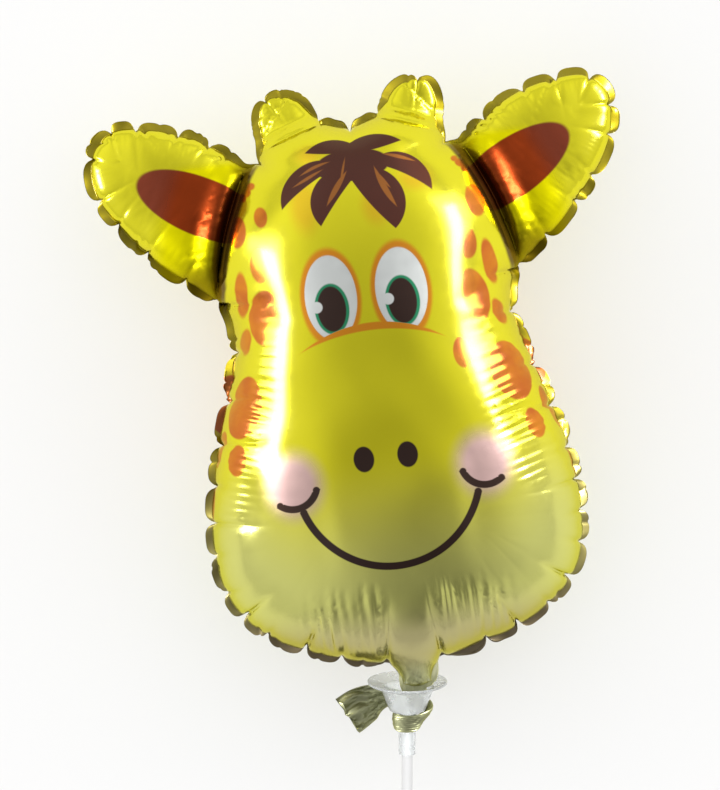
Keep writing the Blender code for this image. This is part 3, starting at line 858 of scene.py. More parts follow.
    def blend(self, low, high, share):
        """A number between low and high."""
        made = self.node("ShaderNodeMix", data_type="FLOAT")
        for socket, value in ((made.inputs["Factor"], share), (made.inputs[2], low), (made.inputs[3], high)):
            self.feed(socket, value)
        return made.outputs[0]

    def surface(self, **values):
        """The shader itself, fed by name, and joined to the material's output; gives the material."""
        shader = self.fed(self.node("ShaderNodeBsdfPrincipled"), **values)
        self.tree.links.new(shader.outputs[0], self.node("ShaderNodeOutputMaterial").inputs[0])
        return self.owner

    def bump(self, height, strength, distance):
        made = self.node("ShaderNodeBump")
        return self.fed(made, Height=height, Strength=strength, Distance=distance).outputs[0]


def ear_art(draw, at):
    """Masks of the insides of the ears, the painted shade at their roots, and their dull roots."""
    height = draw.split(at)[1]
    (x0, y0), (x1, y1), bow = EAR_FOLD
    inner, shades, roots = [], [], []
    for side in (-1, 1):
        beside = draw.beside_arc(at, (side * x0, y0), (side * x1, y1), side * bow)
        past = draw.maths("MULTIPLY", beside, -side)
        shapes = [draw.ellipse(at, (side * x, y), size, side * turn, 0.5)
                  for (x, y), size, turn in INNER_EAR]
        inner.append(draw.both(draw.most(shapes), draw.ramp(past, -0.5, 1.5)))
        for masks, bands in ((shades, PAINTED_EAR_SHADES), (roots, [EAR_ROOT])):
            masks.extend(draw.both(draw.band(past, *aside), draw.band(height, *up), strength)
                         for aside, up, strength in bands)
    return draw.most(inner), draw.most(shades), draw.most(roots)


def eye_art(draw, look, colour, at, front):
    """The eyes, and the line round them and over the nose; gives the colour and a mask of the whites."""
    def pair(part, middles, soft=0.35):
        aside, height, *size = part
        return draw.most([draw.ellipse(at, (x + aside, height), size, soft=soft) for x in middles])

    start, end, bow = NOSE_ARC
    rings = draw.both(pair(EYE_RING, EYES, 1.1), draw.ramp(draw.beside_arc(at, *NOSE_ARC), 0.3, -0.3))
    nose_line = draw.leaf(at, start, end, bow + 1.6, bow - 2.2, 0.5)
    colour = draw.over(colour, look.outline_ink, draw.both(front, draw.most([rings, nose_line])))
    clear = draw.both(front, draw.ramp(draw.beside_arc(at, start, end, bow + 1.5), 0.2, -0.2))
    whites = draw.both(clear, pair(EYE_WHITE, EYES))
    colour = draw.over(colour, look.eye_ink, whites)
    colour = draw.over(colour, look.iris_ink, draw.both(clear, pair(IRIS, EYES)))
    colour = draw.over(colour, look.line_ink, draw.both(clear, pair(PUPIL, EYES)))
    return draw.over(colour, look.eye_ink, draw.both(front, pair(GLINT, GLINTS))), whites


def face_art(draw, look, colour, at, front):
    """The animal's face over the base colour; gives the colour and masks of solid ink and dull ear roots."""
    cheeks = draw.most([draw.ellipse(at, place, CHEEK_SIZE, soft=6.0) for place in CHEEKS])
    cheeks = draw.both(front, cheeks, 0.93)
    colour = draw.over(colour, look.cheek_ink, cheeks)
    inner_ear, shade, dull = (draw.both(front, mask) for mask in ear_art(draw, at))
    colour = draw.over(colour, look.inner_ear_ink, inner_ear)
    # Painted shade: dark colour laid in the fold where each ear meets the head, and on the ear's lower part
    # beside it.
    colour = draw.over(colour, look.ear_root_painted_shade_ink, draw.both(shade, 0.93))
    under_hair = draw.most([draw.ellipse(at, place, size, soft=4.0) for place, size in HAIR_SHADES])
    colour = draw.over(colour, look.outline_ink, draw.both(front, under_hair, 0.42))
    colour, whites = eye_art(draw, look, colour, at, front)

    lines = [draw.stroke(at, *line) for line in (SMILE, *DIMPLES)]
    lines += [draw.ellipse(at, place, NOSTRIL_SIZE) for place in NOSTRILS]
    lines = draw.both(front, draw.most(lines))
    colour = draw.over(colour, look.line_ink, lines)
    locks = draw.most([draw.leaf(at, *lock) for lock in LOCKS] + [draw.ellipse(at, *HAIR_MIDDLE)])
    locks = draw.both(front, locks)
    colour = draw.over(colour, look.hair_ink, locks)
    strands = draw.most([draw.leaf(at, *strand) for strand in STRANDS])
    colour = draw.over(colour, look.strand_ink, draw.both(front, strands, 0.85))
    return colour, draw.most([cheeks, whites, lines, locks]), dull


def foil_finish(look):
    """Metal foil, printed with translucent inks, with a clear film over it."""
    draw = Drawing(bpy.data.materials.new("printed foil"))
    film, plan = draw.attribute("film"), draw.attribute("plan")
    front, weld = draw.attribute("front", "Fac"), draw.attribute("weld", "Fac")
    across, height, _ = draw.split(plan)

    aside = draw.ramp(draw.maths("ABSOLUTE", across), 40.0, 92.0, 0.0, 24.0)
    above_muzzle = draw.ramp(draw.maths("SUBTRACT", height, aside), *MUZZLE_TONE)
    base = draw.over(look.muzzle_ink, look.film_ink, above_muzzle)
    # The chin's tone is partly the print's greyer colour and partly painted shade, darker towards the chin's
    # edge.
    for ink, tone in ((look.chin_ink_and_painted_shade, CHIN_TONE), (look.neck_ink, NECK_TONE), (look.tail_ink, TAIL_TONE)):
        base = draw.over(base, ink, draw.ramp(height, *tone))
    middle = [(1.0 - ART_SCALE) * v for v in ART_MIDDLE]
    face = draw.moved(plan, "TEXTURE", (ART_SCALE, ART_SCALE, 1.0), middle)
    spots = [draw.ellipse(at, (side * x, y), (rx, ry), turn, 0.5)
             for at, group in ((face, HIGH_SPOTS), (film, LOW_SPOTS))
             for side, places in group.items()
             for x, y, rx, ry, turn in places]
    spot_tone = draw.ramp(draw.noise(film, 14.0, 2.0), 0.3, 0.7)
    spot_ink = draw.over(look.spot_ink, look.spot_light_ink, spot_tone)
    colour = draw.over(base, spot_ink, draw.most(spots))
    colour, solid, dull = face_art(draw, look, colour, face, front)
    dull = draw.most([dull, draw.ramp(height, *DULL_TAIL, 0.0, 0.85)])

    smear = draw.ramp(draw.noise(film, 9.0, 4.0, 0.6), 0.25, 0.75, -0.03, 0.03)
    softer = draw.ramp(height, *SOFTER_CHIN, 0.0, 0.08)
    rough = draw.blend(look.foil_roughness, INK_ROUGHNESS, draw.most([solid, weld]))
    rough = draw.added(draw.blend(rough, DULL_ROUGHNESS, dull), smear, softer)
    return draw.surface(
        # The weld margin is darkened: partly the heat seal's duller film, partly painted shade where the
        # margin tucks behind the pillow.
        Base_Color=draw.over(colour, look.weld_seal_tint_and_painted_shade, weld, "MULTIPLY"),
        Metallic=draw.blend(METAL_SHARE, INK_METAL_SHARE, solid),
        Roughness=rough,
        Specular_Tint=look.edge_tint,
        Coat_Weight=draw.blend(look.clear_film, 0.03 * look.clear_film, dull),
        Coat_Roughness=0.2,
        Coat_IOR=2.4,
        Normal=draw.bump(draw.noise(film, 0.55, 2.0), 0.12, 0.00004),
    )


def clear_cup_finish(look):
    """Clear, slightly milky moulded plastic."""
    draw = Drawing(bpy.data.materials.new("clear moulded plastic"))
    cloud = draw.noise(draw.moved(draw.where("Object"), "POINT", (1.0 / MM,) * 3), 7.0, 3.0)
    return draw.surface(
        Base_Color=draw.mottled(look.milk, 0.95, cloud),
        Roughness=draw.ramp(cloud, 0.3, 0.7, 0.16, 0.3),
        IOR=1.46,
        Transmission_Weight=look.clearness,
        Normal=draw.bump(cloud, 0.2, 0.0002),
    )


def stick_finish(look):
    """White drawn plastic tube, with faint marks along it."""
    draw = Drawing(bpy.data.materials.new("white drawn plastic"))
    marks = draw.noise(draw.moved(draw.where("Object"), "POINT", (1.0 / MM, 0.03 / MM, 1.0 / MM)), 1.1, 3.0)
    return draw.surface(
        Base_Color=draw.mottled(look.stick_white, 0.93, marks),
        Roughness=draw.ramp(marks, 0.3, 0.7, 0.34, 0.46),
        Normal=draw.bump(marks, 0.15, 0.0001),
    )


# ---------------------------------------------------------------- the gathered neck, the cup and the stick

# Stations in the cup's own axes (across, towards the viewer, along the stick): place, facing, half sizes.
NECK_IN = [
    ((5.4, 0, -16), (0, -1, 0), 9, 3),
    ((5.4, 0, -6), (0, -1, 0), 10.2, 3.4),
    ((4.4, 0, -1.6), (0, -1, 0), 9.4, 3.2),
    ((3.4, -0.3, 2.8), (0, -1, 0), 7.0, 2.8),
    ((4.4, -2.1, 8), (0.3, -1, 0), 5.0, 2.4),
    ((4.7, -5.2, 12.4), (0.64, -0.77, 0), 3.4, 1.7),
    ((3.6, -6.7, 16.2), (0.5, -0.86, 0), 3.1, 1.5),
]
WIND_FROM, WIND_TO = -112.0, -455.0
WIND_RADIUS, WIND_DEPTH = 6.4, 20.6
WIND_HALF_WIDTH, WIND_HALF_THICKNESS = 4.5, 1.1
LEAVE_FROM, LEAVE_RADIUS, LEAVE_DEPTH = -285.0, 13.0, 13.6
TAIL = [
    ((-9, -12.6, 12.2), (0.15, -1, 0), 4.8, 1.1),
    ((-16, -10, 12.8), (0.35, -1, 0), 8.2, 1.1),
    ((-23, -7, 15.4), (0.35, -1, 0), 10.0, 1.1),
    ((-29.5, -4.5, 19.3), (0.3, -1, 0), 10.4, 1.0),
]
STRIP_SIDES, STRIP_RINGS = 64, 300
NECK_END_UP = -100.0

# Pleats across the strip, as their half turns and height: broad ones on the tail, fine ones that grow on it,
# and the waves of its hem.
BROAD_PLEATS, FINE_PLEATS, TAIL_HEM = (3.0, 1.3), (9.0, 0.42, 0.28), (2.2, 0.8)

STICK_TOP, STICK_LENGTH, STICK_RADIUS, STICK_BORE = 15.5, 300.0, 2.75, 1.9
RIM_RADIUS, WALL, BRIM_RADIUS, BRIM_DEPTH = 20.0, 1.2, 13.2, 2.8
FUNNEL_RADIUS, FUNNEL_DEPTH, COLLAR_RADIUS, COLLAR_END = 9.0, 14.0, 4.25, 38.0
SLOT_TURN, SLOT_WIDTH, SLOT_TOP = math.radians(-50), 11.0, 9.0
FIT_GAP = 0.3


def head_frame():
    """The matrix from the head's own millimetres, face up, to the frame."""
    _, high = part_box("foil_balloon")
    seam = high.z - FRONT_TO_SEAM * MM
    crown = high.y - CROWN_TOP * MM
    return Matrix.Translation((0.0, crown, seam)) @ Matrix.Scale(MM, 4)


def cup_frame():
    """The matrix from the cup's own millimetres to the frame, from the stick's own axis."""
    mounts = {mount["name"]: mount for mount in frame["record"]["mounts"]}
    axis = Vector(mounts["stick_end"]["axis"]).normalized()
    low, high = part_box("stick")
    rim = (Vector(low) + Vector(high)) / 2.0 - axis * (STICK_TOP + STICK_LENGTH / 2.0) * MM
    across = Vector((-axis.y, axis.x, 0.0)).normalized()
    turn = Matrix((across, axis.cross(across), axis)).transposed().to_4x4()
    return Matrix.Translation(rim) @ turn @ Matrix.Scale(MM, 4)


def winding():
    """Stations of the strip round the collar, which then climbs outside the funnel."""
    stations = []
    for turn in np.linspace(WIND_FROM, WIND_TO, 18):
        leave = float(smooth_step(0.0, 1.0, (LEAVE_FROM - turn) / (LEAVE_FROM - WIND_TO)))
        radius = WIND_RADIUS + (LEAVE_RADIUS - WIND_RADIUS) * leave
        depth = WIND_DEPTH + (LEAVE_DEPTH - WIND_DEPTH) * leave
        radial = np.array((math.cos(math.radians(turn)), math.sin(math.radians(turn)), 0.0))
        start = float(smooth_step(0.0, 1.0, (WIND_FROM - turn) / 60.0))
        width = NECK_IN[-1][2] + (WIND_HALF_WIDTH - NECK_IN[-1][2]) * start
        facing = radial + (0.0, 0.0, 0.75 * math.sin(math.pi * leave))
        stations.append((radial * radius + (0.0, 0.0, depth), facing, width, WIND_HALF_THICKNESS))
    return stations


def catmull(values, t):
    """The uniform Catmull-Rom value at t, in stations from the first row of values."""
    last = len(values) - 1
    i = min(int(t), last - 1)
    p0, p1, p2, p3 = (values[min(max(i + k, 0), last)] for k in (-1, 0, 1, 2))
    f = t - i
    return 0.5 * (2.0 * p1 + (p2 - p0) * f + (2.0 * p0 - 5.0 * p1 + 4.0 * p2 - p3) * f * f
                  + (3.0 * p1 - p0 - 3.0 * p2 + p3) * f ** 3)


def neck_strip(rng):
    """The gathered neck, its turn round the collar and its flared tail, as one closed pleated strip."""
    stations = NECK_IN + winding() + TAIL
    rows = np.array([(*place, *facing, width, thick) for place, facing, width, thick in stations], float)
    lengths = np.concatenate([[0.0], np.cumsum(np.linalg.norm(np.diff(rows[:, :3], axis=0), axis=1))])
    places = np.interp(np.linspace(0.0, lengths[-1], STRIP_RINGS), lengths, np.arange(len(rows)))
    tail_from = lengths[len(NECK_IN) + len(winding()) - 1] / lengths[-1]
    angle = np.linspace(0.0, 2.0 * math.pi, STRIP_SIDES, endpoint=False)
    wide, thick = np.cos(angle), np.sin(angle)
    sway, depth = Waves(rng, 14.0), Waves(rng, 11.0)
    (broad_turns, broad), (fine_turns, fine, finer), (hem_turns, hem) = BROAD_PLEATS, FINE_PLEATS, TAIL_HEM
    points, marks = [], []
    for k, t in enumerate(places):
        row = catmull(rows, t)
        ahead, behind = catmull(rows, min(t + 0.05, len(rows) - 1)), catmull(rows, max(t - 0.05, 0.0))
        tangent = (ahead - behind)[:3] / np.linalg.norm((ahead - behind)[:3])
        facing = row[3:6] - tangent * np.dot(row[3:6], tangent)
        facing /= np.linalg.norm(facing)
        side = np.cross(facing, tangent)
        run = k / (STRIP_RINGS - 1)
        flare = float(smooth_step(0.0, 1.0, (run - tail_from) / (1.0 - tail_from)))
        gone = run * lengths[-1]
        on_film = np.column_stack([row[6] * wide, np.full(STRIP_SIDES, gone)])
        pleat = broad * flare * np.sin(math.pi * broad_turns * wide + 0.8 * sway.at(on_film))
        small = (fine + finer * flare) * np.sin(math.pi * fine_turns * wide + 1.6 * sway.at(on_film * 1.3))
        lift = row[7] * thick + pleat + small * (1.0 - 0.5 * np.abs(wide)) + 0.25 * depth.at(on_film)
        ring = row[:3] + np.outer(row[6] * wide, side) + np.outer(lift, facing)
        if flare > 0.0:
            ring += np.outer(hem * flare * np.sin(hem_turns * math.pi * wide + 1.0), tangent)
        points.append(ring)
        marks.append(np.column_stack([row[6] * wide, np.full(STRIP_SIDES, NECK_END_UP - gone)]))
    return np.array(points), np.array(marks)


def strip_mesh(rings, marks):
    """Triangles of a strip of rings, closed at both ends."""
    count, sides = rings.shape[:2]
    total = count * sides
    here = np.arange(sides)
    after = (here + 1) % sides
    first, last = np.full(sides, total), np.full(sides, total + 1)
    base = total - sides
    ends = np.stack([after, here, first, base + here, base + after, last], axis=-1).reshape(-1, 3)
    verts = np.vstack([rings.reshape(-1, 3), rings[0].mean(axis=0), rings[-1].mean(axis=0)])
    flat = np.vstack([marks.reshape(-1, 2), marks[0].mean(axis=0), marks[-1].mean(axis=0)])
    return verts, np.vstack([between_rings(count, sides), ends]), flat


def rounded(corners, radius, steps=5):
    """A closed profile with its corners rounded."""
    corners = [np.array(c, float) for c in corners]
    out = []
    for before, here, after in zip(corners[-1:] + corners[:-1], corners, corners[1:] + corners[:1]):
        back, ahead = before - here, after - here
        reach = min(radius, 0.45 * np.linalg.norm(back), 0.45 * np.linalg.norm(ahead))
        start = here + back / np.linalg.norm(back) * reach
        end = here + ahead / np.linalg.norm(ahead) * reach
        for t in np.linspace(0.0, 1.0, steps):
            out.append(tuple(start * (1 - t) ** 2 + here * 2.0 * t * (1 - t) + end * t * t))
    return out


def turned(profile, sides):
    """A closed profile of (radius, along) turned round the axis."""
    mesh = bmesh.new()
    rings = []
    for k in range(sides):
        angle = 2.0 * math.pi * k / sides
        rings.append([mesh.verts.new((r * math.cos(angle), r * math.sin(angle), s)) for r, s in profile])
    for k in range(sides):
        first, second = rings[k], rings[(k + 1) % sides]
        for m in range(len(profile)):
            n = (m + 1) % len(profile)
            mesh.faces.new((first[m], first[n], second[n], second[m]))
    bmesh.ops.recalc_face_normals(mesh, faces=mesh.faces)
    return mesh


def cup_shape():
    """The cup's rim, funnel and collar in one turned wall with soft lips."""
    bore = STICK_RADIUS + FIT_GAP
    corners = [
        (RIM_RADIUS, 0.0), (RIM_RADIUS, WALL), (BRIM_RADIUS, BRIM_DEPTH + WALL),
        (FUNNEL_RADIUS, FUNNEL_DEPTH + WALL), (COLLAR_RADIUS, FUNNEL_DEPTH + WALL),
        (COLLAR_RADIUS, COLLAR_END), (bore, COLLAR_END), (bore, FUNNEL_DEPTH),
        (FUNNEL_RADIUS - WALL, FUNNEL_DEPTH), (BRIM_RADIUS - WALL, BRIM_DEPTH),
    ]
    return turned(rounded(corners, 0.5), 96)


def slot_block():
    """The block that cuts the neck's way out through the funnel's floor and wall."""
    mesh = bmesh.new()
    inner, outer = COLLAR_RADIUS + 0.25, RIM_RADIUS
    bottom = FUNNEL_DEPTH + WALL + 2.0
    bmesh.ops.create_cube(mesh, size=1.0)
    bmesh.ops.scale(mesh, vec=(outer - inner, SLOT_WIDTH, bottom - SLOT_TOP), verts=mesh.verts)
    bmesh.ops.translate(mesh, vec=((outer + inner) / 2.0, 0.0, (bottom + SLOT_TOP) / 2.0), verts=mesh.verts)
    bmesh.ops.rotate(mesh, matrix=Matrix.Rotation(SLOT_TURN, 3, "Z"), verts=mesh.verts)
    return mesh


def stick_shape():
    """The drawn tube, with its two ends just softened."""
    end = STICK_TOP + STICK_LENGTH
    corners = [(STICK_RADIUS, STICK_TOP), (STICK_RADIUS, end), (STICK_BORE, end), (STICK_BORE, STICK_TOP)]
    return turned(rounded(corners, 0.2), 64)


def object_from(name, mesh, material, matrix=None):
    """A smooth-shaded object from a bmesh, placed by a matrix that is worked into its points."""
    if matrix is not None:
        bmesh.ops.transform(mesh, matrix=matrix, verts=mesh.verts)
    data = bpy.data.meshes.new(name)
    mesh.to_mesh(data)
    mesh.free()
    data.shade_smooth()
    made = bpy.data.objects.new(name, data)
    bpy.context.scene.collection.objects.link(made)
    if material is not None:
        data.materials.append(material)
    return made


def cut_away(thing, tool):
    """Cuts the tool out of the thing, for good, and removes the tool."""
    cut = thing.modifiers.new("slot", "BOOLEAN")
    cut.operation = "DIFFERENCE"
    cut.solver = "EXACT"
    cut.object = tool
    result = bpy.data.meshes.new_from_object(thing.evaluated_get(bpy.context.evaluated_depsgraph_get()))
    thing.modifiers.clear()
    thing.data = result
    bpy.data.objects.remove(tool)


# ---------------------------------------------------------------- settings


def length_setting(name, default, description):
    return FloatProperty(name=name, description=description, default=default, min=0.0, precision=4,
                         unit="LENGTH")


def share_setting(name, default, description):
    return FloatProperty(name=name, description=description, default=default, min=0.0, max=2.0,
                         subtype="FACTOR")


def power_setting(name, default, description):
    return FloatProperty(name=name, description=description, default=default, unit="POWER")


def ink_setting(name, default, description):
    return FloatVectorProperty(name=name, description=description, default=default, size=3,
                               min=0.0, max=1.0, subtype="COLOR")


class BalloonFilmSettings(PropertyGroup):
    """Sizes and inks of the inflated film."""
    half_thickness: length_setting("Half thickness", 0.060, "How far the fullest place rises above the weld")
    fullness: share_setting("Fullness", 1.3, "Above 1, the middle is flatter and the shoulders are fuller")
    shoulder_dip: length_setting("Shoulder dip", 0.0012, "How far the flanks and the cheeks' feet sink")
    weld_width: length_setting("Weld width", 0.0042, "Width of the flat margin outside the weld")
    lobe_rise: length_setting("Lobe rise", 0.0016, "How far the film swells between two pleats")
    seam_sway: length_setting("Seam sway", 0.0016, "How far the weld is pulled back between two pleats")
    ear_fullness: share_setting("Ear fullness", 0.52, "How thick the ears and horns are, beside the head")
    ear_fold: share_setting("Ear fold", 0.68, "How deep the fold is where an ear meets the head")
    horn_fold: share_setting("Horn fold", 0.32, "How deep the fold is under a horn")
    pleat_depth: share_setting("Pleat depth", 1.0, "Depth of the pleats along the weld")
    ripple_height: share_setting("Ripple height", 1.0, "Height of the fine ripples")
    foil_roughness: share_setting("Foil roughness", 0.13, "How soft the foil's reflections are")
    clear_film: share_setting("Clear film", 0.15, "How strong the clear outer film's own shine is")
    film_ink: ink_setting("Yellow", (0.76, 0.7, 0.001), "The head's yellow over the metal")
    muzzle_ink: ink_setting("Muzzle", (0.63, 0.63, 0.17), "The pale lower muzzle")
    # Partly the print's greyer colour, partly painted shade: darker towards the chin's edge.
    chin_ink_and_painted_shade: ink_setting("Chin", (0.47, 0.42, 0.19), "The greyer lower end of the muzzle")
    spot_ink: ink_setting("Spots", (0.57, 0.125, 0.003), "The coat's spots")
    spot_light_ink: ink_setting("Light spots", (0.69, 0.22, 0.003), "The lighter tone in the spots")
    inner_ear_ink: ink_setting("Inner ear", (0.26, 0.036, 0.007), "The inside of the ears")
    # Painted shade: the dark colour laid in the fold where an ear meets the head, and on the ear's lower part
    # beside it.
    ear_root_painted_shade_ink: ink_setting("Ear base", (0.09, 0.03, 0.006), "The dark shade where an ear meets the head")
    hair_ink: ink_setting("Hair", (0.062, 0.011, 0.006), "The hair on the forehead")
    line_ink: ink_setting("Lines", (0.02, 0.005, 0.004), "The mouth, nostrils and pupils")
    neck_ink: ink_setting("Neck", (0.6, 0.6, 0.36), "The pale neck above the cup")
    tail_ink: ink_setting("Tail", (0.37, 0.38, 0.22), "The plain end of the neck, past the cup")
    strand_ink: ink_setting("Strands", (0.3, 0.1, 0.012), "The golden strands in the hair")
    outline_ink: ink_setting("Orange", (0.78, 0.28, 0.002), "The line round the eyes and over the nose")
    eye_ink: ink_setting("Eye white", (0.53, 0.55, 0.54), "The whites of the eyes and their glints")
    iris_ink: ink_setting("Iris", (0.01, 0.2, 0.09), "The green ring round each pupil")
    cheek_ink: ink_setting("Cheeks", (0.475, 0.3, 0.33), "The soft pink of the cheeks")
    edge_tint: ink_setting("Edge tint", (0.82, 0.77, 0.1), "The foil's shine where it turns away")
    # Partly the heat seal's duller film, partly painted shade where the margin tucks behind the pillow.
    weld_seal_tint_and_painted_shade: ink_setting("Weld tint", (0.36, 0.31, 0.36), "What the heat of the weld leaves of each ink")


class BalloonCupSettings(PropertyGroup):
    """Finish of the clear cup."""
    clearness: share_setting("Clearness", 0.72, "How much light the plastic lets through")
    milk: ink_setting("Milky tint", (0.93, 0.95, 0.95), "The plastic's own faint colour")


class BalloonStickSettings(PropertyGroup):
    """Finish of the stick."""
    stick_white: ink_setting("White", (0.76, 0.76, 0.76), "The tube's white")


class BalloonStageSettings(PropertyGroup):
    """Floor, light and camera."""
    camera_distance: length_setting("Camera distance", 1.6, "From the weld to the camera")
    view_height: length_setting("View height", 0.395, "Height of what the camera sees at the weld")
    left_light: power_setting("Left light", 20.0, "Power of the left soft boxes")
    right_light: power_setting("Right light", 32.0, "Power of the right soft boxes")
    floor_light: power_setting("Floor light", 55.0, "Power of the light over the floor")
    room_light: share_setting("Room light", 1.3, "Strength of the room's own light")
    floor_white: ink_setting("Floor", (0.8, 0.8, 0.8), "The floor's colour")


# ---------------------------------------------------------------- the makers


def put_marks(data, marks):
    """Keeps what each point lies on, for the print."""
    for name, values in marks.items():
        if values.ndim == 2:
            kept = data.attributes.new(name, "FLOAT_VECTOR", "POINT")
            flat = np.column_stack([values, np.zeros(len(values))])
            kept.data.foreach_set("vector", flat.astype(np.float32).ravel())
        else:
            kept = data.attributes.new(name, "FLOAT", "POINT")
            kept.data.foreach_set("value", values.astype(np.float32))


def mesh_from(name, verts, tris, matrix):
    """A mesh from points and triangles, brought into the frame by a matrix."""
    turn = np.array(matrix)
    placed = verts @ turn[:3, :3].T + turn[:3, 3]
    data = bpy.data.meshes.new(name)
    data.vertices.add(len(placed))
    data.vertices.foreach_set("co", placed.astype(np.float32).ravel())
    data.loops.add(3 * len(tris))
    data.loops.foreach_set("vertex_index", tris.astype(np.int32).ravel())
    data.polygons.add(len(tris))
    data.polygons.foreach_set("loop_start", np.arange(0, 3 * len(tris), 3, dtype=np.int32))
    data.update(calc_edges=True)
    data.validate()
    data.shade_smooth()
    return data


class BALLOON_OT_film(Operator):
    """Make the inflated film with its print, neck and tail"""
    bl_idname = "balloon.film"
    bl_label = "Make the film"

    def execute(self, context):
        look = context.scene.balloon_film
        head, cup = head_frame(), cup_frame()
        seam_height = head.translation.z / MM
        verts, tris, marks = balloon_mesh(look, seam_height)
        rings, strip_marks = neck_strip(np.random.default_rng(5))
        strip_verts, strip_tris, flat = strip_mesh(rings, strip_marks)
        to_head = np.array(head.inverted() @ cup)
        strip_verts = strip_verts @ to_head[:3, :3].T + to_head[:3, 3]
        strip_tris = strip_tris + len(verts)
        zero = np.zeros(len(strip_verts))
        for name, values in (("film", flat), ("plan", flat), ("weld", zero), ("front", zero)):
            marks[name] = np.concatenate([marks[name], values])
        data = mesh_from("film", np.vstack([verts, strip_verts]), np.vstack([tris, strip_tris]), head)
        put_marks(data, marks)
        data.materials.append(foil_finish(look))
        film = bpy.data.objects.new("printed_film", data)
        context.scene.collection.objects.link(film)
        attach(film, "root")
        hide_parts("foil_balloon")
        return {"FINISHED"}


class BALLOON_OT_cup(Operator):
    """Make the clear cup that holds the neck"""
    bl_idname = "balloon.cup"
    bl_label = "Make the cup"

    def execute(self, context):
        finish = clear_cup_finish(context.scene.balloon_cup)
        cup = object_from("clear_cup", cup_shape(), finish, cup_frame())
        cut_away(cup, object_from("slot_block", slot_block(), None, cup_frame()))
        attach(cup, "root")
        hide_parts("cup")
        return {"FINISHED"}


class BALLOON_OT_stick(Operator):
    """Make the white stick"""
    bl_idname = "balloon.stick"
    bl_label = "Make the stick"

    def execute(self, context):
        finish = stick_finish(context.scene.balloon_stick)
        stick = object_from("white_stick", stick_shape(), finish, cup_frame())
        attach(stick, "root")
        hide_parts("stick")
        return {"FINISHED"}


# Soft boxes: the way to each from the head, its distance, its width and height in metres, and its share of
# its side's power.
SOFT_BOXES = [
    ("left_soft_box", (-0.93, 0.205, 0.3), 1.38, (0.36, 0.35), "left_light", 0.85),
    ("left_wide_box", (-0.928, 0.274, 0.24), 1.42, (0.76, 0.47), "left_light", 0.4),
    ("right_soft_box", (0.885, 0.322, 0.335), 1.38, (0.36, 0.68), "right_light", 0.85),
    ("right_wide_box", (0.845, 0.455, 0.28), 1.42, (0.86, 0.84), "right_light", 0.43),
]
AIM = (-11.0, 54.2, 0.0)
CAMERA_LEAN = math.radians(-7.0)
FLOOR_HALF_SIZE, FLOOR_DROP = 4.0, 0.0002
FLOOR_LIGHT_HEIGHT, FLOOR_LIGHT_SIZE = 2.5, (3.0, 3.0)

# The room's plain level, the level of the pale ground's glow, and how high that glow starts to fade and
# where it is full, from beside the head to past the chin.
ROOM_LEVEL, GLOW_LEVEL = 0.445, 0.7
GLOW_HEIGHTS = ((0.3, 0.44), (0.0, 0.1))


def soft_box(name, aim, direction, distance, size, power):
    """A rectangular light of the given width and height that shines at the aim point."""
    data = bpy.data.lights.new(name, "AREA")
    data.shape = "RECTANGLE"
    data.size, data.size_y = size
    data.energy = power
    made = bpy.data.objects.new(name, data)
    back = Vector(direction).normalized()
    across = Vector((0.0, 1.0, 0.0)).cross(back).normalized()
    turn = Matrix((across, back.cross(across), back)).transposed().to_4x4()
    made.matrix_world = Matrix.Translation(aim + back * distance) @ turn
    bpy.context.scene.collection.objects.link(made)
    return made


def shine_only_on(lamp, things, shaded_by=None):
    """Keeps a light off everything but some things, and lets only some things shade it."""
    lit = bpy.data.collections.new(lamp.name + "_lit")
    for thing in things:
        lit.objects.link(thing)
    lamp.light_linking.receiver_collection = lit
    if shaded_by is not None:
        shading = bpy.data.collections.new(lamp.name + "_shading")
        for thing in shaded_by:
            shading.objects.link(thing)
        lamp.light_linking.blocker_collection = shading


def room(strength):
    """The room's light: bright low down, at the sides and past the crown, but dark past the chin."""
    world = bpy.data.worlds.new("room")
    draw = Drawing(world)
    x, y, z = draw.split(draw.where("Generated"))
    aside = draw.maths("ABSOLUTE", x)
    sideways = draw.ramp(aside, 0.08, 0.72, 0.0, 0.35)
    crownward = draw.ramp(y, 0.0, 0.9, 0.0, 0.3)
    chinward = draw.added(draw.ramp(y, 0.12, -0.3, 0.0, -0.13), draw.ramp(y, -0.3, -0.95, 0.0, -0.07))
    rightward, middling = draw.ramp(x, -0.45, 0.45, 0.0, 1.7), draw.ramp(aside, 0.5, 0.85, 1.0, 0.2)
    chinward = draw.both(chinward, rightward, middling)
    level = draw.added(ROOM_LEVEL, sideways, crownward, chinward)
    glow_top, glow_foot = (draw.ramp(y, -0.2, -0.6, *heights) for heights in GLOW_HEIGHTS)
    level = draw.blend(level, GLOW_LEVEL, draw.ramp(z, glow_top, glow_foot))
    back = draw.fed(draw.node("ShaderNodeBackground"), Strength=draw.both(level, strength))
    draw.tree.links.new(back.outputs[0], draw.node("ShaderNodeOutputWorld").inputs[0])
    return world


def floor_finish(look):
    """Plain pale matt floor."""
    draw = Drawing(bpy.data.materials.new("pale floor"))
    tone = draw.noise(draw.where("Object"), 0.4, 2.0)
    return draw.surface(Base_Color=draw.mottled(look.floor_white, 0.985, tone), Roughness=0.9)


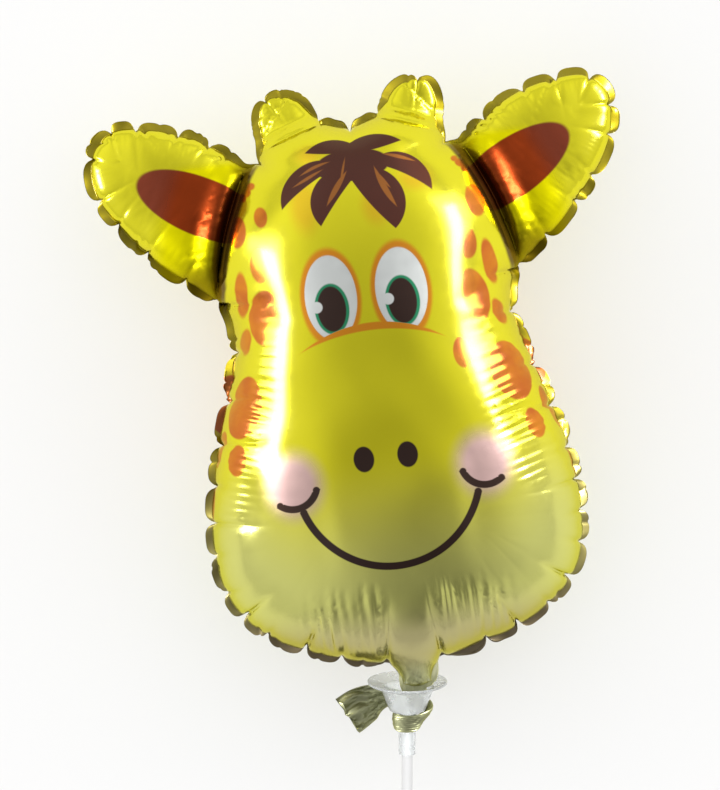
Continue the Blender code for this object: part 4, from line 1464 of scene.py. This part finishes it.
class BALLOON_OT_stage(Operator):
    """Lay the pale floor, and set the lights and the camera"""
    bl_idname = "balloon.stage"
    bl_label = "Set the stage"

    def execute(self, context):
        look = context.scene.balloon_stage
        scene = context.scene
        aim = head_frame() @ Vector(AIM)
        mesh = bmesh.new()
        bmesh.ops.create_grid(mesh, x_segments=8, y_segments=8, size=FLOOR_HALF_SIZE)
        floor = object_from("floor", mesh, floor_finish(look))
        floor.location.z = -FLOOR_DROP
        lamps = [soft_box(name, aim, way, away, size, share * getattr(look, side))
                 for name, way, away, size, side, share in SOFT_BOXES]
        above = soft_box("floor_light", aim, (0.0, 0.0, 1.0), FLOOR_LIGHT_HEIGHT, FLOOR_LIGHT_SIZE,
                         look.floor_light)
        film, cup, stick = (bpy.data.objects[name] for name in PIECES)
        for lamp in lamps:
            shine_only_on(lamp, [film])
            lamp.data.cycles.max_bounces = 0
        shine_only_on(above, [floor, cup, stick], [floor])
        scene.world = room(look.room_light)
        scene.view_settings.view_transform = "Standard"
        data = bpy.data.cameras.new("camera")
        data.lens = data.sensor_width * look.camera_distance / look.view_height
        camera = bpy.data.objects.new("camera", data)
        stand = aim + Vector((0.0, 0.0, look.camera_distance))
        camera.matrix_world = Matrix.Translation(stand) @ Matrix.Rotation(CAMERA_LEAN, 4, "Z")
        scene.collection.objects.link(camera)
        scene.camera = camera
        return {"FINISHED"}


class BALLOON_PT_panel(Panel):
    """Lists the makers and their settings"""
    bl_label = "Foil balloon"
    bl_idname = "BALLOON_PT_panel"
    bl_space_type = "VIEW_3D"
    bl_region_type = "UI"
    bl_category = "Balloon"

    def draw(self, context):
        for maker, group in MAKERS:
            box = self.layout.box()
            box.operator(maker.bl_idname)
            settings = getattr(context.scene, group)
            for name in settings.__annotations__:
                box.prop(settings, name)


PIECES = ("printed_film", "clear_cup", "white_stick")
MAKERS = [
    (BALLOON_OT_film, "balloon_film"),
    (BALLOON_OT_cup, "balloon_cup"),
    (BALLOON_OT_stick, "balloon_stick"),
    (BALLOON_OT_stage, "balloon_stage"),
]
GROUPS = {
    "balloon_film": BalloonFilmSettings,
    "balloon_cup": BalloonCupSettings,
    "balloon_stick": BalloonStickSettings,
    "balloon_stage": BalloonStageSettings,
}
CLASSES = [*GROUPS.values(), *(maker for maker, _ in MAKERS), BALLOON_PT_panel]


def register():
    for made in CLASSES:
        bpy.utils.register_class(made)
    for name, group in GROUPS.items():
        setattr(bpy.types.Scene, name, PointerProperty(type=group))


def unregister():
    for name in GROUPS:
        delattr(bpy.types.Scene, name)
    for made in reversed(CLASSES):
        bpy.utils.unregister_class(made)


def main():
    register()
    bpy.ops.balloon.film()
    bpy.ops.balloon.cup()
    bpy.ops.balloon.stick()
    bpy.ops.balloon.stage()


if __name__ == "__main__":
    main()
